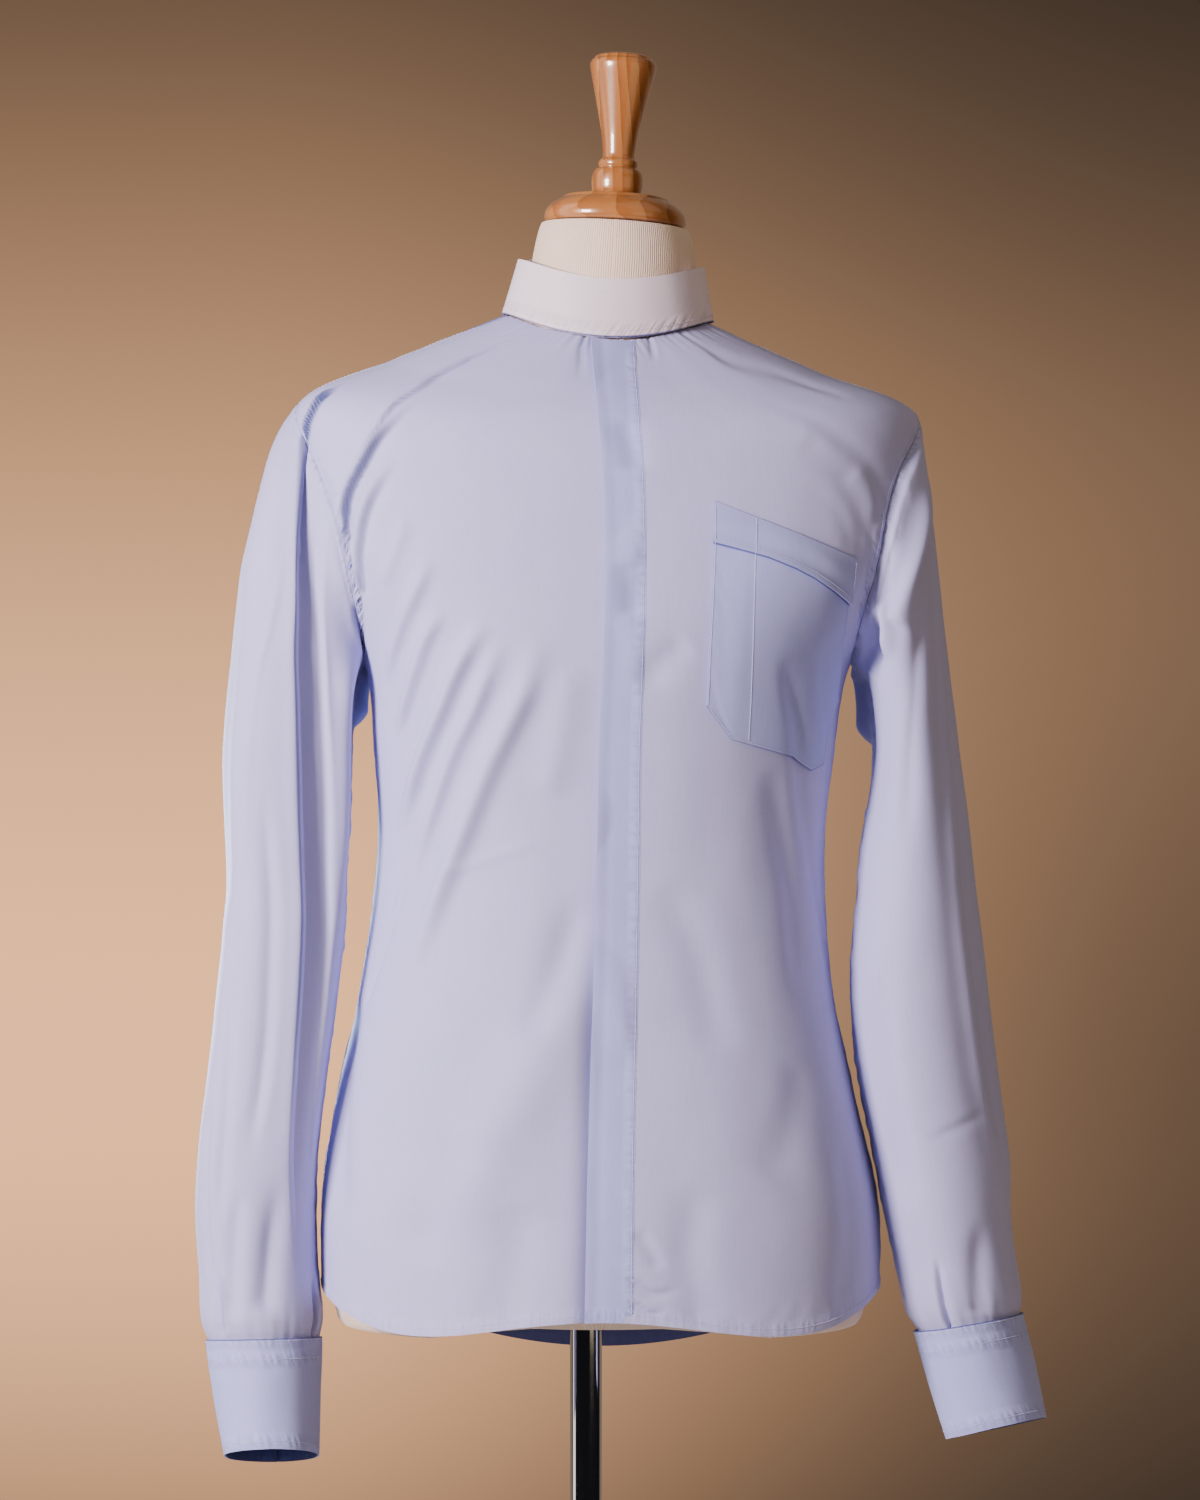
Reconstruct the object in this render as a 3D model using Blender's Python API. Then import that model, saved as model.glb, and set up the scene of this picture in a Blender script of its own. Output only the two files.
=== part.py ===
import math

import bmesh
import bpy
from mathutils import Matrix, Vector

# The frame: metres, +Z up, the front faces -Y and +X is the wearer's left. The origin is the middle
# of the base plate's underside, straight below the pole.

# Cloth
WALL = 0.0012  # one layer of shirting
DOUBLE = 0.0016  # placket, cuffs and bands are folded double
COLLAR_WALL = 0.0015
GAP = 0.0003  # between pieces that are sewn together
PLACKET_LAP = 0.010  # how far the wearer's right front runs past the centre line
PLACKET_HALF = {"neck": 0.0155, "chest": 0.0135, "hem": 0.0165}
ARMHOLE_FRONT = math.radians(31)  # how far the armhole is scooped into the front
ARMHOLE_BACK = math.radians(27)
SLEEVE_START = 0.0017  # how far from the armhole's edge a sleeve begins
YOKE_WRAP = math.radians(6)  # how far the yoke comes over the shoulder line to the front

# Columns of the sewn pieces' grids
FRONT_COLUMNS = 8
BACK_COLUMNS = 16
ARMHOLE_STEPS = 10
SLEEVE_COLUMNS = 2 * ARMHOLE_STEPS
SLEEVE_RINGS = 19
CUFF_RINGS = 3
COLLAR_COLUMNS = 28

# Stand
POLE_RADIUS = 0.0112
POLE_TOP = 0.5997
PLATE_RADIUS = 0.165
PLATE_HEIGHT = 0.012
FORM_BOTTOM = 0.600
FORM_LEAN = math.radians(3.0)  # the neck and finial lean to the wearer's left


class Sections:
    """Rows of named sizes along a piece, read as smooth curves that pass through each row."""

    def __init__(self, columns, rows):
        self.names = list(rows)
        self.values = {c: [row[i] for row in rows.values()] for i, c in enumerate(columns)}
        self.last = len(self.names) - 1

    def level(self, name):
        return float(self.names.index(name))

    def at(self, column, v):
        values = self.values[column]
        v = min(max(v, 0.0), self.last)
        i = min(int(v), self.last - 1)
        t = v - i
        before, start = values[max(i - 1, 0)], values[i]
        end, after = values[i + 1], values[min(i + 2, self.last)]
        slope = (end - before) * t
        bend = (2 * before - 5 * start + 4 * end - after) * t**2
        turn = (3 * start - before - 3 * end + after) * t**3
        return 0.5 * (2 * start + slope + bend + turn)


# The shirt's body, row by row from the hem to the neckline: heights at the sides, centre front and
# centre back, the side-to-side reach, the depth before and behind the pole's plane, how square the
# section is, how much the row drops towards +X, the hem's dip and where the placket's middle lies.
torso = Sections(
    ("side", "front_z", "back_z", "left", "right", "front", "back", "power", "tilt", "dip", "placket"),
    {
        "hem": (0.628, 0.612, 0.566, -0.1840, 0.2050, 0.124, 0.122, 2.3, 0.000, 0.012, 0.0160),
        "hips": (0.690, 0.682, 0.655, -0.1838, 0.2030, 0.123, 0.125, 2.3, 0.000, 0.004, 0.0168),
        "seat": (0.760, 0.756, 0.742, -0.1740, 0.1880, 0.116, 0.114, 2.3, 0.000, 0.0, 0.0182),
        "high_hip": (0.840, 0.838, 0.832, -0.1570, 0.1712, 0.106, 0.097, 2.3, 0.002, 0.0, 0.0205),
        "waist": (0.925, 0.925, 0.922, -0.1455, 0.1660, 0.102, 0.084, 2.35, 0.005, 0.0, 0.0222),
        "ribs": (1.000, 1.002, 0.998, -0.1475, 0.1730, 0.111, 0.091, 2.4, 0.008, 0.0, 0.0236),
        "armpit": (1.063, 1.066, 1.062, -0.1545, 0.1845, 0.120, 0.104, 2.45, 0.010, 0.0, 0.0262),
        "chest": (1.135, 1.130, 1.135, -0.1880, 0.2230, 0.120, 0.109, 2.5, 0.012, 0.0, 0.0276),
        "shoulder_blade": (1.195, 1.182, 1.192, -0.2010, 0.2310, 0.113, 0.109, 2.5, 0.015, 0.0, 0.0262),
        "shoulder": (1.2395, 1.218, 1.232, -0.1985, 0.2290, 0.105, 0.104, 2.4, 0.018, 0.0, 0.0235),
        "slope": (1.2650, 1.242, 1.262, -0.1400, 0.1700, 0.092, 0.092, 2.2, 0.030, 0.0, 0.0215),
        "neck_base": (1.2830, 1.262, 1.286, -0.0970, 0.1270, 0.076, 0.077, 2.1, 0.038, 0.0, 0.0198),
        "neckline": (1.3005, 1.2815, 1.312, -0.0560, 0.0864, 0.0600, 0.0600, 2.0, 0.040, 0.0, 0.0190),
    },
)
ARMPIT = torso.level("armpit")
SHOULDER = torso.level("shoulder")
NECKLINE = torso.level("neckline")

# Broad folds of the body, each a trough (minus) or ridge from one (x, z) to another.
fold_columns = ("x_from", "z_from", "x_to", "z_to", "width", "height")
front_folds = {
    "armhole_drag": (-0.105, 1.235, -0.158, 1.160, 0.014, -0.005),
    "underarm_left": (-0.150, 1.085, -0.100, 0.960, 0.016, -0.005),
    "chest_left": (-0.065, 1.085, -0.125, 0.870, 0.017, -0.006),
    "waist_left": (-0.030, 1.040, -0.105, 0.850, 0.018, 0.005),
    "chest_right": (0.128, 1.180, 0.182, 1.100, 0.016, -0.004),
    "pocket_right": (0.140, 1.030, 0.170, 0.850, 0.018, -0.005),
    "hip_right": (0.120, 0.720, 0.135, 0.650, 0.020, -0.004),
}
back_folds = {
    "blade_left": (-0.120, 1.190, -0.090, 1.030, 0.020, -0.005),
    "blade_right": (0.150, 1.180, 0.120, 1.020, 0.022, -0.006),
    "waist_middle": (0.030, 1.000, 0.015, 0.820, 0.026, -0.006),
    "seat_left": (-0.080, 0.860, -0.105, 0.680, 0.024, -0.006),
    "seat_right": (0.105, 0.850, 0.125, 0.660, 0.022, -0.005),
}

# Each sleeve and its cuff, ring by ring from the armhole down: the outer point, the inner point,
# half the depth, the middle's y and how much the ring's front stands above its back.
sleeve_columns = ("out_x", "out_z", "in_x", "in_z", "depth", "mid_y", "rock", "groove")
sleeves = {
    "right": Sections(
        sleeve_columns,
        {
            "armhole": (-0.1985, 1.2430, -0.1545, 1.0650, 0.062, 0.000, 0.000, 0.000),
            "head": (-0.2100, 1.2290, -0.1585, 1.0560, 0.063, 0.000, 0.000, 0.003),
            "cap": (-0.2200, 1.2060, -0.1610, 1.0450, 0.065, -0.001, 0.000, 0.006),
            "deltoid": (-0.2310, 1.1620, -0.1625, 1.0300, 0.066, -0.003, 0.000, 0.008),
            "upper": (-0.2400, 1.1240, -0.1628, 1.0120, 0.066, -0.004, 0.000, 0.009),
            "biceps": (-0.2464, 1.0770, -0.1630, 0.9850, 0.065, -0.006, 0.000, 0.010),
            "above_elbow": (-0.2522, 1.0100, -0.1636, 0.9500, 0.062, -0.008, 0.000, 0.010),
            "elbow": (-0.2516, 0.9550, -0.1656, 0.9150, 0.060, -0.010, 0.000, 0.010),
            "below_elbow": (-0.2502, 0.9000, -0.1664, 0.8800, 0.058, -0.012, 0.000, 0.009),
            "forearm": (-0.2548, 0.8420, -0.1712, 0.8350, 0.056, -0.014, 0.000, 0.008),
            "lower": (-0.2612, 0.7830, -0.1788, 0.7830, 0.054, -0.016, 0.000, 0.006),
            "above_wrist": (-0.2685, 0.7220, -0.1868, 0.7220, 0.051, -0.018, 0.001, 0.003),
            "wrist": (-0.2700, 0.6780, -0.1882, 0.6780, 0.049, -0.019, 0.002, 0.000),
            "gather": (-0.2668, 0.6330, -0.1872, 0.6330, 0.046, -0.020, 0.003, 0.000),
            "cuff_top": (-0.2622, 0.5900, -0.1855, 0.5920, 0.041, -0.021, 0.004, 0.000),
            "cuff_middle": (-0.2566, 0.5530, -0.1862, 0.5540, 0.0385, -0.022, 0.005, 0.000),
            "cuff_bottom": (-0.2496, 0.5130, -0.1872, 0.5140, 0.036, -0.023, 0.007, 0.000),
        },
    ),
    "left": Sections(
        sleeve_columns,
        {
            "armhole": (0.2290, 1.2350, 0.1845, 1.0610, 0.062, 0.000, 0.000, 0.000),
            "head": (0.2345, 1.2200, 0.1910, 1.0540, 0.063, 0.000, 0.000, 0.000),
            "cap": (0.2385, 1.1940, 0.1972, 1.0460, 0.065, -0.001, 0.000, 0.000),
            "deltoid": (0.2420, 1.1600, 0.2000, 1.0340, 0.066, -0.003, 0.000, 0.000),
            "upper": (0.2462, 1.1200, 0.2010, 1.0170, 0.066, -0.004, 0.000, 0.001),
            "biceps": (0.2510, 1.0730, 0.2005, 0.9930, 0.065, -0.006, 0.000, 0.002),
            "above_elbow": (0.2577, 1.0170, 0.1968, 0.9640, 0.062, -0.008, 0.000, 0.003),
            "elbow": (0.2645, 0.9600, 0.1915, 0.9330, 0.060, -0.010, 0.000, 0.004),
            "below_elbow": (0.2705, 0.9050, 0.1883, 0.8950, 0.058, -0.012, 0.000, 0.004),
            "forearm": (0.2790, 0.8400, 0.1842, 0.8400, 0.056, -0.014, 0.000, 0.004),
            "lower": (0.2860, 0.7810, 0.1880, 0.7810, 0.054, -0.016, 0.000, 0.003),
            "above_wrist": (0.2935, 0.7210, 0.1995, 0.7210, 0.051, -0.018, 0.001, 0.002),
            "wrist": (0.2945, 0.6810, 0.2078, 0.6770, 0.049, -0.019, 0.002, 0.000),
            "gather": (0.2975, 0.6440, 0.2178, 0.6350, 0.046, -0.020, 0.003, 0.000),
            "cuff_top": (0.3019, 0.6080, 0.2300, 0.5960, 0.041, -0.021, 0.004, 0.000),
            "cuff_middle": (0.3100, 0.5740, 0.2400, 0.5600, 0.0385, -0.022, 0.005, 0.000),
            "cuff_bottom": (0.3182, 0.5360, 0.2520, 0.5220, 0.036, -0.023, 0.007, 0.000),
        },
    ),
}
CUFF_TOP = sleeves["right"].level("cuff_top")
GROOVE_AT = math.radians(120)  # the long fold on a sleeve's front lies this far round from its top
SLEEVE_BLEND = 3.0  # rings over which a sleeve leaves the armhole's own outline

# The breast pocket's columns: where its top edge, the band's lower edge and its bottom edge lie.
pocket_columns = ("top", "band", "bottom")
pocket = {
    "left": ((0.0862, 1.1680), (0.0860, 1.1395), (0.0811, 1.0300)),
    "left_corner": ((0.1050, 1.1605), (0.1040, 1.1350), (0.0985, 1.0070)),
    "middle": ((0.1245, 1.1530), (0.1230, 1.1300), (0.1200, 1.0010)),
    "right_middle": ((0.1440, 1.1455), (0.1415, 1.1230), (0.1411, 0.9953)),
    "point": ((0.1570, 1.1405), (0.1540, 1.1170), (0.1538, 0.9860)),
    "right_corner": ((0.1710, 1.1350), (0.1675, 1.1085), (0.1620, 0.9900)),
    "right": ((0.1850, 1.1295), (0.1790, 1.1000), (0.1722, 1.0340)),
}
POCKET_ROWS = 4
POCKET_TUCK = 0.2  # share of the band's height that the pocket runs up behind it

# The form inside the shirt, for each of the body's rows: its distance from the cloth at the front
# and back, and at the sides.
form_insets = {
    "hips": (0.010, 0.006),
    "seat": (0.010, 0.006),
    "high_hip": (0.010, 0.006),
    "waist": (0.012, 0.007),
    "ribs": (0.011, 0.008),
    "armpit": (0.010, 0.014),
    "chest": (0.009, 0.034),
    "shoulder_blade": (0.007, 0.036),
    "shoulder": (0.005, 0.020),
    "slope": (0.0037, 0.0029),
    "neck_base": (0.0034, 0.0028),
    "neckline": (0.0085, 0.0105),
}
# The form's neck above that: height, middle's x, half width, half depth and drop towards +X.
neck_rings = (
    (1.3250, 0.0184, 0.0578, 0.0510, 0.042),
    (1.3430, 0.0196, 0.0568, 0.0508, 0.044),
    (1.3590, 0.0204, 0.0540, 0.0495, 0.052),
    (1.3655, 0.0206, 0.0518, 0.0475, 0.058),
)
FORM_COLUMNS = 32

# Turned wood on the neck, as (radius, height) above the neck's top.
cap_profile = ((0.0, 0.0), (0.0478, 0.0), (0.0498, 0.0030), (0.0500, 0.0065), (0.0486, 0.0105),
               (0.0450, 0.0145), (0.0402, 0.0175), (0.0384, 0.0180), (0.0368, 0.0205),
               (0.0300, 0.0214), (0.0, 0.0218))
finial_profile = ((0.0, 0.0), (0.0158, 0.0), (0.0176, 0.0035), (0.0181, 0.0090), (0.0177, 0.0145),
                  (0.0160, 0.0178), (0.0128, 0.0190), (0.0138, 0.0208), (0.0138, 0.0238),
                  (0.0114, 0.0256), (0.0110, 0.0290), (0.0128, 0.0430), (0.0165, 0.0600),
                  (0.0208, 0.0790), (0.0230, 0.0880), (0.0233, 0.0915), (0.0222, 0.0940),
                  (0.0208, 0.0948), (0.0196, 0.0972), (0.0120, 0.0990), (0.0, 0.0996))
CAP_AT = Vector((0.0202, 0.0, 1.3656))
TURNED_STEPS = 28


def material(name, colour, roughness, metallic=0.0):
    made = bpy.data.materials.new(name)
    made.use_nodes = True
    shader = made.node_tree.nodes["Principled BSDF"]
    shader.inputs["Base Color"].default_value = (*colour, 1.0)
    shader.inputs["Roughness"].default_value = roughness
    shader.inputs["Metallic"].default_value = metallic
    return made


def add_object(name, mesh, surface):
    data = bpy.data.meshes.new(name)
    bmesh.ops.recalc_face_normals(mesh, faces=mesh.faces)
    mesh.to_mesh(data)
    mesh.free()
    data.materials.append(surface)
    data.shade_smooth()
    data.set_sharp_from_angle(angle=math.radians(50))
    made = bpy.data.objects.new(name, data)
    bpy.context.scene.collection.objects.link(made)
    return made


def mix(start, end, t):
    return start + (end - start) * t


def smooth_step(start, end, value):
    t = min(max((value - start) / (end - start), 0.0), 1.0)
    return t * t * (3 - 2 * t)


def fold_height(x, z, folds):
    """How far the cloth stands out at (x, z) because of these folds."""
    total = 0.0
    for row in folds.values():
        fold = dict(zip(fold_columns, row))
        run = Vector((fold["x_to"] - fold["x_from"], fold["z_to"] - fold["z_from"]))
        place = Vector((x - fold["x_from"], z - fold["z_from"]))
        along = place.dot(run) / run.length_squared
        beside = (place - run * min(max(along, 0.0), 1.0)).length / fold["width"]
        total += fold["height"] * math.exp(-(beside**2))
    return total


def torso_point(turn, v):
    """The body's mid-cloth: turn 0 is centre front, 90 degrees the wearer's left side."""
    across, facing = math.sin(turn), math.cos(turn)
    left, right = torso.at("left", v), torso.at("right", v)
    middle, half = (left + right) / 2, (right - left) / 2
    power = torso.at("power", v)
    bulge = max(0.0, 1 - abs(across) ** power) ** (1 / power)
    x = middle + half * across
    level = torso.at("front_z" if facing > 0 else "back_z", v)
    z = mix(torso.at("side", v), level, facing**2) - torso.at("tilt", v) * (x - middle)
    if facing > 0:
        z -= torso.at("dip", v) * math.sin(2 * turn) ** 2
        return Vector((x, -torso.at("front", v) * bulge - fold_height(x, z, front_folds) * bulge, z))
    return Vector((x, torso.at("back", v) * bulge + fold_height(x, z, back_folds) * bulge, z))


def normal_at(surface, a, b, step=0.002):
    across = surface(a + step, b) - surface(a - step, b)
    up = surface(a, b + step) - surface(a, b - step)
    return across.cross(up).normalized()


def spot(surface, a, b):
    """A point of a surface with the way out of it."""
    return surface(a, b), normal_at(surface, a, b)


def turn_at(x, v):
    """The turn at which the body's row v passes x, on the front."""
    left, right = torso.at("left", v), torso.at("right", v)
    return math.asin(min(max((2 * x - left - right) / (right - left), -1.0), 1.0))


def front_spot(x, z):
    """The body's front at (x, z)."""
    low, high = 0.0, NECKLINE
    for _ in range(30):
        v = (low + high) / 2
        if torso_point(turn_at(x, v), v).z < z:
            low = v
        else:
            high = v
    return spot(torso_point, turn_at(x, v), v)


def scoop(v, reach):
    """How far an armhole is cut in from the side at row v."""
    share = (v - ARMPIT) / (SHOULDER - ARMPIT)
    if not 0 < share < 1:
        return 0.0
    return reach * (1.1 - 0.45 * share) * math.sin(math.pi * share) ** 0.6


def yoke_wrap(v):
    return YOKE_WRAP * smooth_step(SHOULDER, SHOULDER + 0.8, v)


def front_edge(v):
    """The turn of the front's outer edge: side seam, armhole, then the yoke's front seam."""
    return math.pi / 2 - scoop(v, ARMHOLE_FRONT) - yoke_wrap(v)


def back_edge(v):
    return math.pi / 2 + scoop(v, ARMHOLE_BACK)


def placket_half(v):
    chest = torso.level("chest")
    if v > chest:
        return mix(PLACKET_HALF["chest"], PLACKET_HALF["neck"], (v - chest) / (NECKLINE - chest))
    return mix(PLACKET_HALF["hem"], PLACKET_HALF["chest"], v / chest)


def torso_rows():
    """The rows that every piece of the body is cut along."""
    below = [ARMPIT * i / 12 for i in range(12)]
    beside = [
        mix(ARMPIT, SHOULDER, (1 - math.cos(math.pi * i / ARMHOLE_STEPS)) / 2)
        for i in range(ARMHOLE_STEPS)
    ]
    above = [mix(SHOULDER, NECKLINE, i / 5) for i in range(6)]
    return below + beside + above


rows = torso_rows()
YOKE_SEAM = 12 + 7  # the row where the yoke joins the back


def wall(name, grid, thickness, surface, closed=False, lift=0.0):
    """A cloth wall through a grid of (point, normal), closed round its columns if it's a tube."""
    mesh = bmesh.new()
    sheets = []
    for offset in (lift + thickness / 2, lift - thickness / 2):
        sheets.append([[mesh.verts.new(p + n * offset) for p, n in row] for row in grid])
    outer, inner = sheets
    last_row, count = len(grid) - 1, len(grid[0])
    spans = count if closed else count - 1
    for r in range(last_row):
        for c in range(spans):
            d = (c + 1) % count
            mesh.faces.new((outer[r][c], outer[r][d], outer[r + 1][d], outer[r + 1][c]))
            mesh.faces.new((inner[r][c], inner[r + 1][c], inner[r + 1][d], inner[r][d]))
    for c in range(spans):
        d = (c + 1) % count
        mesh.faces.new((outer[0][d], outer[0][c], inner[0][c], inner[0][d]))
        mesh.faces.new((outer[-1][c], outer[-1][d], inner[-1][d], inner[-1][c]))
    for r in range(last_row if not closed else 0):
        mesh.faces.new((outer[r][0], outer[r + 1][0], inner[r + 1][0], inner[r][0]))
        mesh.faces.new((outer[r + 1][-1], outer[r][-1], inner[r][-1], inner[r + 1][-1]))
    return add_object(name, mesh, surface)


def pulled(edge, inside, distance):
    """A row of a grid moved towards the next row, so that a seam stays open."""
    return [(p + (q - p).normalized() * distance, n) for (p, n), (q, _) in zip(edge, inside)]


def trimmed(grid, closed=False, start=GAP / 2, end=GAP / 2):
    """A grid with its edges drawn in by half a seam's gap."""
    grid = [pulled(grid[0], grid[1], start), *grid[1:-1], pulled(grid[-1], grid[-2], end)]
    if closed:
        return grid
    columns = [list(column) for column in zip(*grid)]
    columns[0] = pulled(columns[0], columns[1], GAP / 2)
    columns[-1] = pulled(columns[-1], columns[-2], GAP / 2)
    return [list(row) for row in zip(*columns)]


def torso_panel(name, levels, start, end, columns, surface):
    """A piece of the body between two edges, each a function that gives the turn at a row."""
    grid = [
        [spot(torso_point, mix(start(v), end(v), c / columns), v) for c in range(columns + 1)]
        for v in levels
    ]
    return wall(name, trimmed(grid), WALL, surface)


def lap_turn(v):
    return turn_at(torso.at("placket", v) + PLACKET_LAP, v)


def add_body(cloth):
    torso_panel("front_right", rows, lambda v: -front_edge(v), lap_turn, FRONT_COLUMNS, cloth)
    torso_panel("front_left", rows, lap_turn, front_edge, FRONT_COLUMNS, cloth)
    torso_panel(
        "back",
        rows[: YOKE_SEAM + 1],
        back_edge,
        lambda v: 2 * math.pi - back_edge(v),
        BACK_COLUMNS,
        cloth,
    )

    def yoke_start(v):
        return back_edge(v) - yoke_wrap(v)

    torso_panel(
        "yoke", rows[YOKE_SEAM:], yoke_start, lambda v: 2 * math.pi - yoke_start(v), BACK_COLUMNS, cloth
    )


def add_placket(cloth):
    grid = []
    for v in rows:
        middle = torso.at("placket", v)
        half = placket_half(v)
        places = (middle - half, middle - half / 3, middle + PLACKET_LAP, middle + half)
        grid.append([spot(torso_point, turn_at(x, v), v) for x in places])
    grid[-1] = pulled(grid[-1], grid[-2], 0.0012)
    wall("placket", grid, DOUBLE, cloth, lift=WALL / 2 + GAP + DOUBLE / 2)


def add_pocket(cloth):
    columns = [dict(zip(pocket_columns, row)) for row in pocket.values()]

    def between(low, high, t):
        return [
            front_spot(*(mix(a, b, t) for a, b in zip(column[low], column[high]))) for column in columns
        ]

    bag = [between("bottom", "band", i / POCKET_ROWS) for i in range(POCKET_ROWS)]
    band = [between("band", "top", t) for t in (0.0, POCKET_TUCK, 0.6, 1.0)]
    lift = WALL / 2 + 4 * GAP + WALL / 2
    wall("pocket", bag + band[:2], WALL, cloth, lift=lift)
    wall("pocket_band", band, DOUBLE, cloth, lift=lift + WALL / 2 + GAP + DOUBLE / 2)


def armhole_point(side, around):
    """The armhole's edge: around 0 is the shoulder point, 90 degrees its front, 180 the armpit."""
    share = (1 + math.cos(around)) / 2
    v = mix(ARMPIT, SHOULDER, share)
    sign = 1 if side == "left" else -1
    if math.sin(around) >= 0:
        return torso_point(sign * (math.pi / 2 - scoop(v, ARMHOLE_FRONT)), v)
    return torso_point(sign * (math.pi / 2 + scoop(v, ARMHOLE_BACK)), v)


def ring_point(side, around, v):
    table = sleeves[side]
    outer = Vector((table.at("out_x", v), table.at("out_z", v)))
    inner = Vector((table.at("in_x", v), table.at("in_z", v)))
    reach, front = math.cos(around), math.sin(around)
    place = (outer + inner) / 2 + (outer - inner) / 2 * reach
    dent = table.at("groove", v) * math.exp(-(((around - GROOVE_AT) / 0.22) ** 2))
    y = table.at("mid_y", v) - table.at("depth", v) * front + dent
    return Vector((place.x, y, place.y + table.at("rock", v) * front))


def sleeve_point(side, around, v):
    around %= 2 * math.pi
    point = ring_point(side, around, v)
    if v < SLEEVE_BLEND:
        left_over = armhole_point(side, around) - ring_point(side, around, 0.0)
        point += left_over * (1 - v / SLEEVE_BLEND) ** 2
    return point


def sleeve_spot(side, around, v):
    """A point of a sleeve with the way out of it."""
    sign = -1 if side == "left" else 1
    point, normal = spot(lambda a, b: sleeve_point(side, a, b), around, v)
    return point, normal * sign


def add_sleeve(side, cloth, button):
    step = 2 * math.pi / SLEEVE_COLUMNS
    levels = [CUFF_TOP * i / (SLEEVE_RINGS - 1) for i in range(SLEEVE_RINGS)]
    grid = [[sleeve_spot(side, c * step, v) for c in range(SLEEVE_COLUMNS)] for v in levels]
    tilt = sleeves[side].at("out_x", 0.0) - sleeves[side].at("in_x", 0.0)
    drop = sleeves[side].at("out_z", 0.0) - sleeves[side].at("in_z", 0.0)
    away = Vector((math.copysign(drop, tilt), 0.0, -abs(tilt))).normalized()
    grid = trimmed(grid, closed=True, start=0.0)
    grid[0] = [(p + away * SLEEVE_START, n) for p, n in grid[0]]
    wall("sleeve_" + side, grid, WALL, cloth, closed=True)

    # The opening's binding runs up the outer back of the sleeve from the cuff.
    first, last = 15, 17
    strip = [row[first : last + 1] for row in grid[-4:]]
    strip[0] = pulled(strip[0], strip[1], 0.004)
    strip[-1] = pulled(strip[-1], strip[-2], 0.001)
    wall("sleeve_placket_" + side, strip, WALL, cloth, lift=WALL + GAP)

    bottom = sleeves[side].last
    levels = [mix(CUFF_TOP, bottom, i / (CUFF_RINGS - 1)) for i in range(CUFF_RINGS)]
    cuff = [[sleeve_spot(side, c * step, v) for c in range(SLEEVE_COLUMNS)] for v in levels]
    wall("cuff_" + side, trimmed(cuff, closed=True), DOUBLE, cloth, closed=True)
    corners = [cuff[r][c][0] for r, c in ((0, first), (0, first + 1), (1, first + 1), (1, first))]
    outward = sum((n for _, n in cuff[0][first : first + 2]), Vector())
    facing = (corners[2] - corners[0]).cross(corners[3] - corners[1]).normalized()
    facing *= math.copysign(1.0, facing.dot(outward))
    seat = sum(corners, Vector()) / 4 + facing * (DOUBLE / 2 + 2 * GAP)
    add_disc("cuff_button_" + side, seat, facing, 0.0052, 0.0022, button)


def add_disc(name, place, facing, radius, thickness, surface):
    """A round button or stud whose flat back is at place."""
    mesh = bmesh.new()
    stand = facing.to_track_quat("Z", "Y").to_matrix().to_4x4()
    matrix = Matrix.Translation(place + facing * thickness / 2) @ stand
    bmesh.ops.create_cone(
        mesh, cap_ends=True, segments=16, radius1=radius, radius2=radius * 0.9, depth=thickness, matrix=matrix
    )
    return add_object(name, mesh, surface)


def neck_point(turn, height, out=0.0):
    """The standing bands round the neck: height 0 is the neckline and 1 the collar's top edge."""
    base = torso_point(turn, NECKLINE)
    middle = Vector((torso.at("left", NECKLINE) + torso.at("right", NECKLINE), 0.0, 0.0)) / 2
    away = Vector((base.x, base.y, 0.0)) - middle
    lean = Vector((0.0026, 0.0, 0.0)) * height
    place = middle + lean + away * mix(1.0, 0.885, height) + away.normalized() * out
    rise = mix(0.0395, 0.0425, math.cos(turn) ** 2)
    return Vector((place.x, place.y, base.z + rise * height))


def add_neck(cloth, white, brass):
    def band_spot(turn, height):
        return spot(lambda a, b: neck_point(a, b), turn, height)

    step = 2 * math.pi / COLLAR_COLUMNS
    band = [[band_spot(c * step, h) for c in range(COLLAR_COLUMNS)] for h in (0.03, 0.30, 0.62, 0.90)]
    wall("neckband", band, WALL, cloth, closed=True)

    # The white collar stands round the band, and one end laps over the other at the back.
    clear = WALL / 2 + GAP + COLLAR_WALL / 2 + 0.0003
    lap = math.radians(24)

    def collar_spot(turn, height):
        out = clear + (COLLAR_WALL + 2 * GAP) * smooth_step(math.pi - lap, math.pi - lap / 4, turn)
        return spot(lambda a, b: neck_point(a, b, out), turn, height)

    turns = [mix(-math.pi, math.pi, c / COLLAR_COLUMNS) for c in range(COLLAR_COLUMNS + 1)]
    turns[-1] = math.pi - lap / 8
    turns.append(math.pi + lap / 2)
    turns.insert(-2, math.pi - lap / 4)
    turns.insert(-3, math.pi - lap)
    turns = sorted(turns)
    collar = [[collar_spot(t, h) for t in turns] for h in (0.045, 0.36, 0.68, 1.0)]
    wall("clerical_collar", collar, COLLAR_WALL, white)
    place, normal = collar_spot(math.pi + lap / 8, 0.40)
    add_disc("collar_stud", place + normal * (COLLAR_WALL / 2 + GAP), normal, 0.0045, 0.0020, brass)


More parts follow.
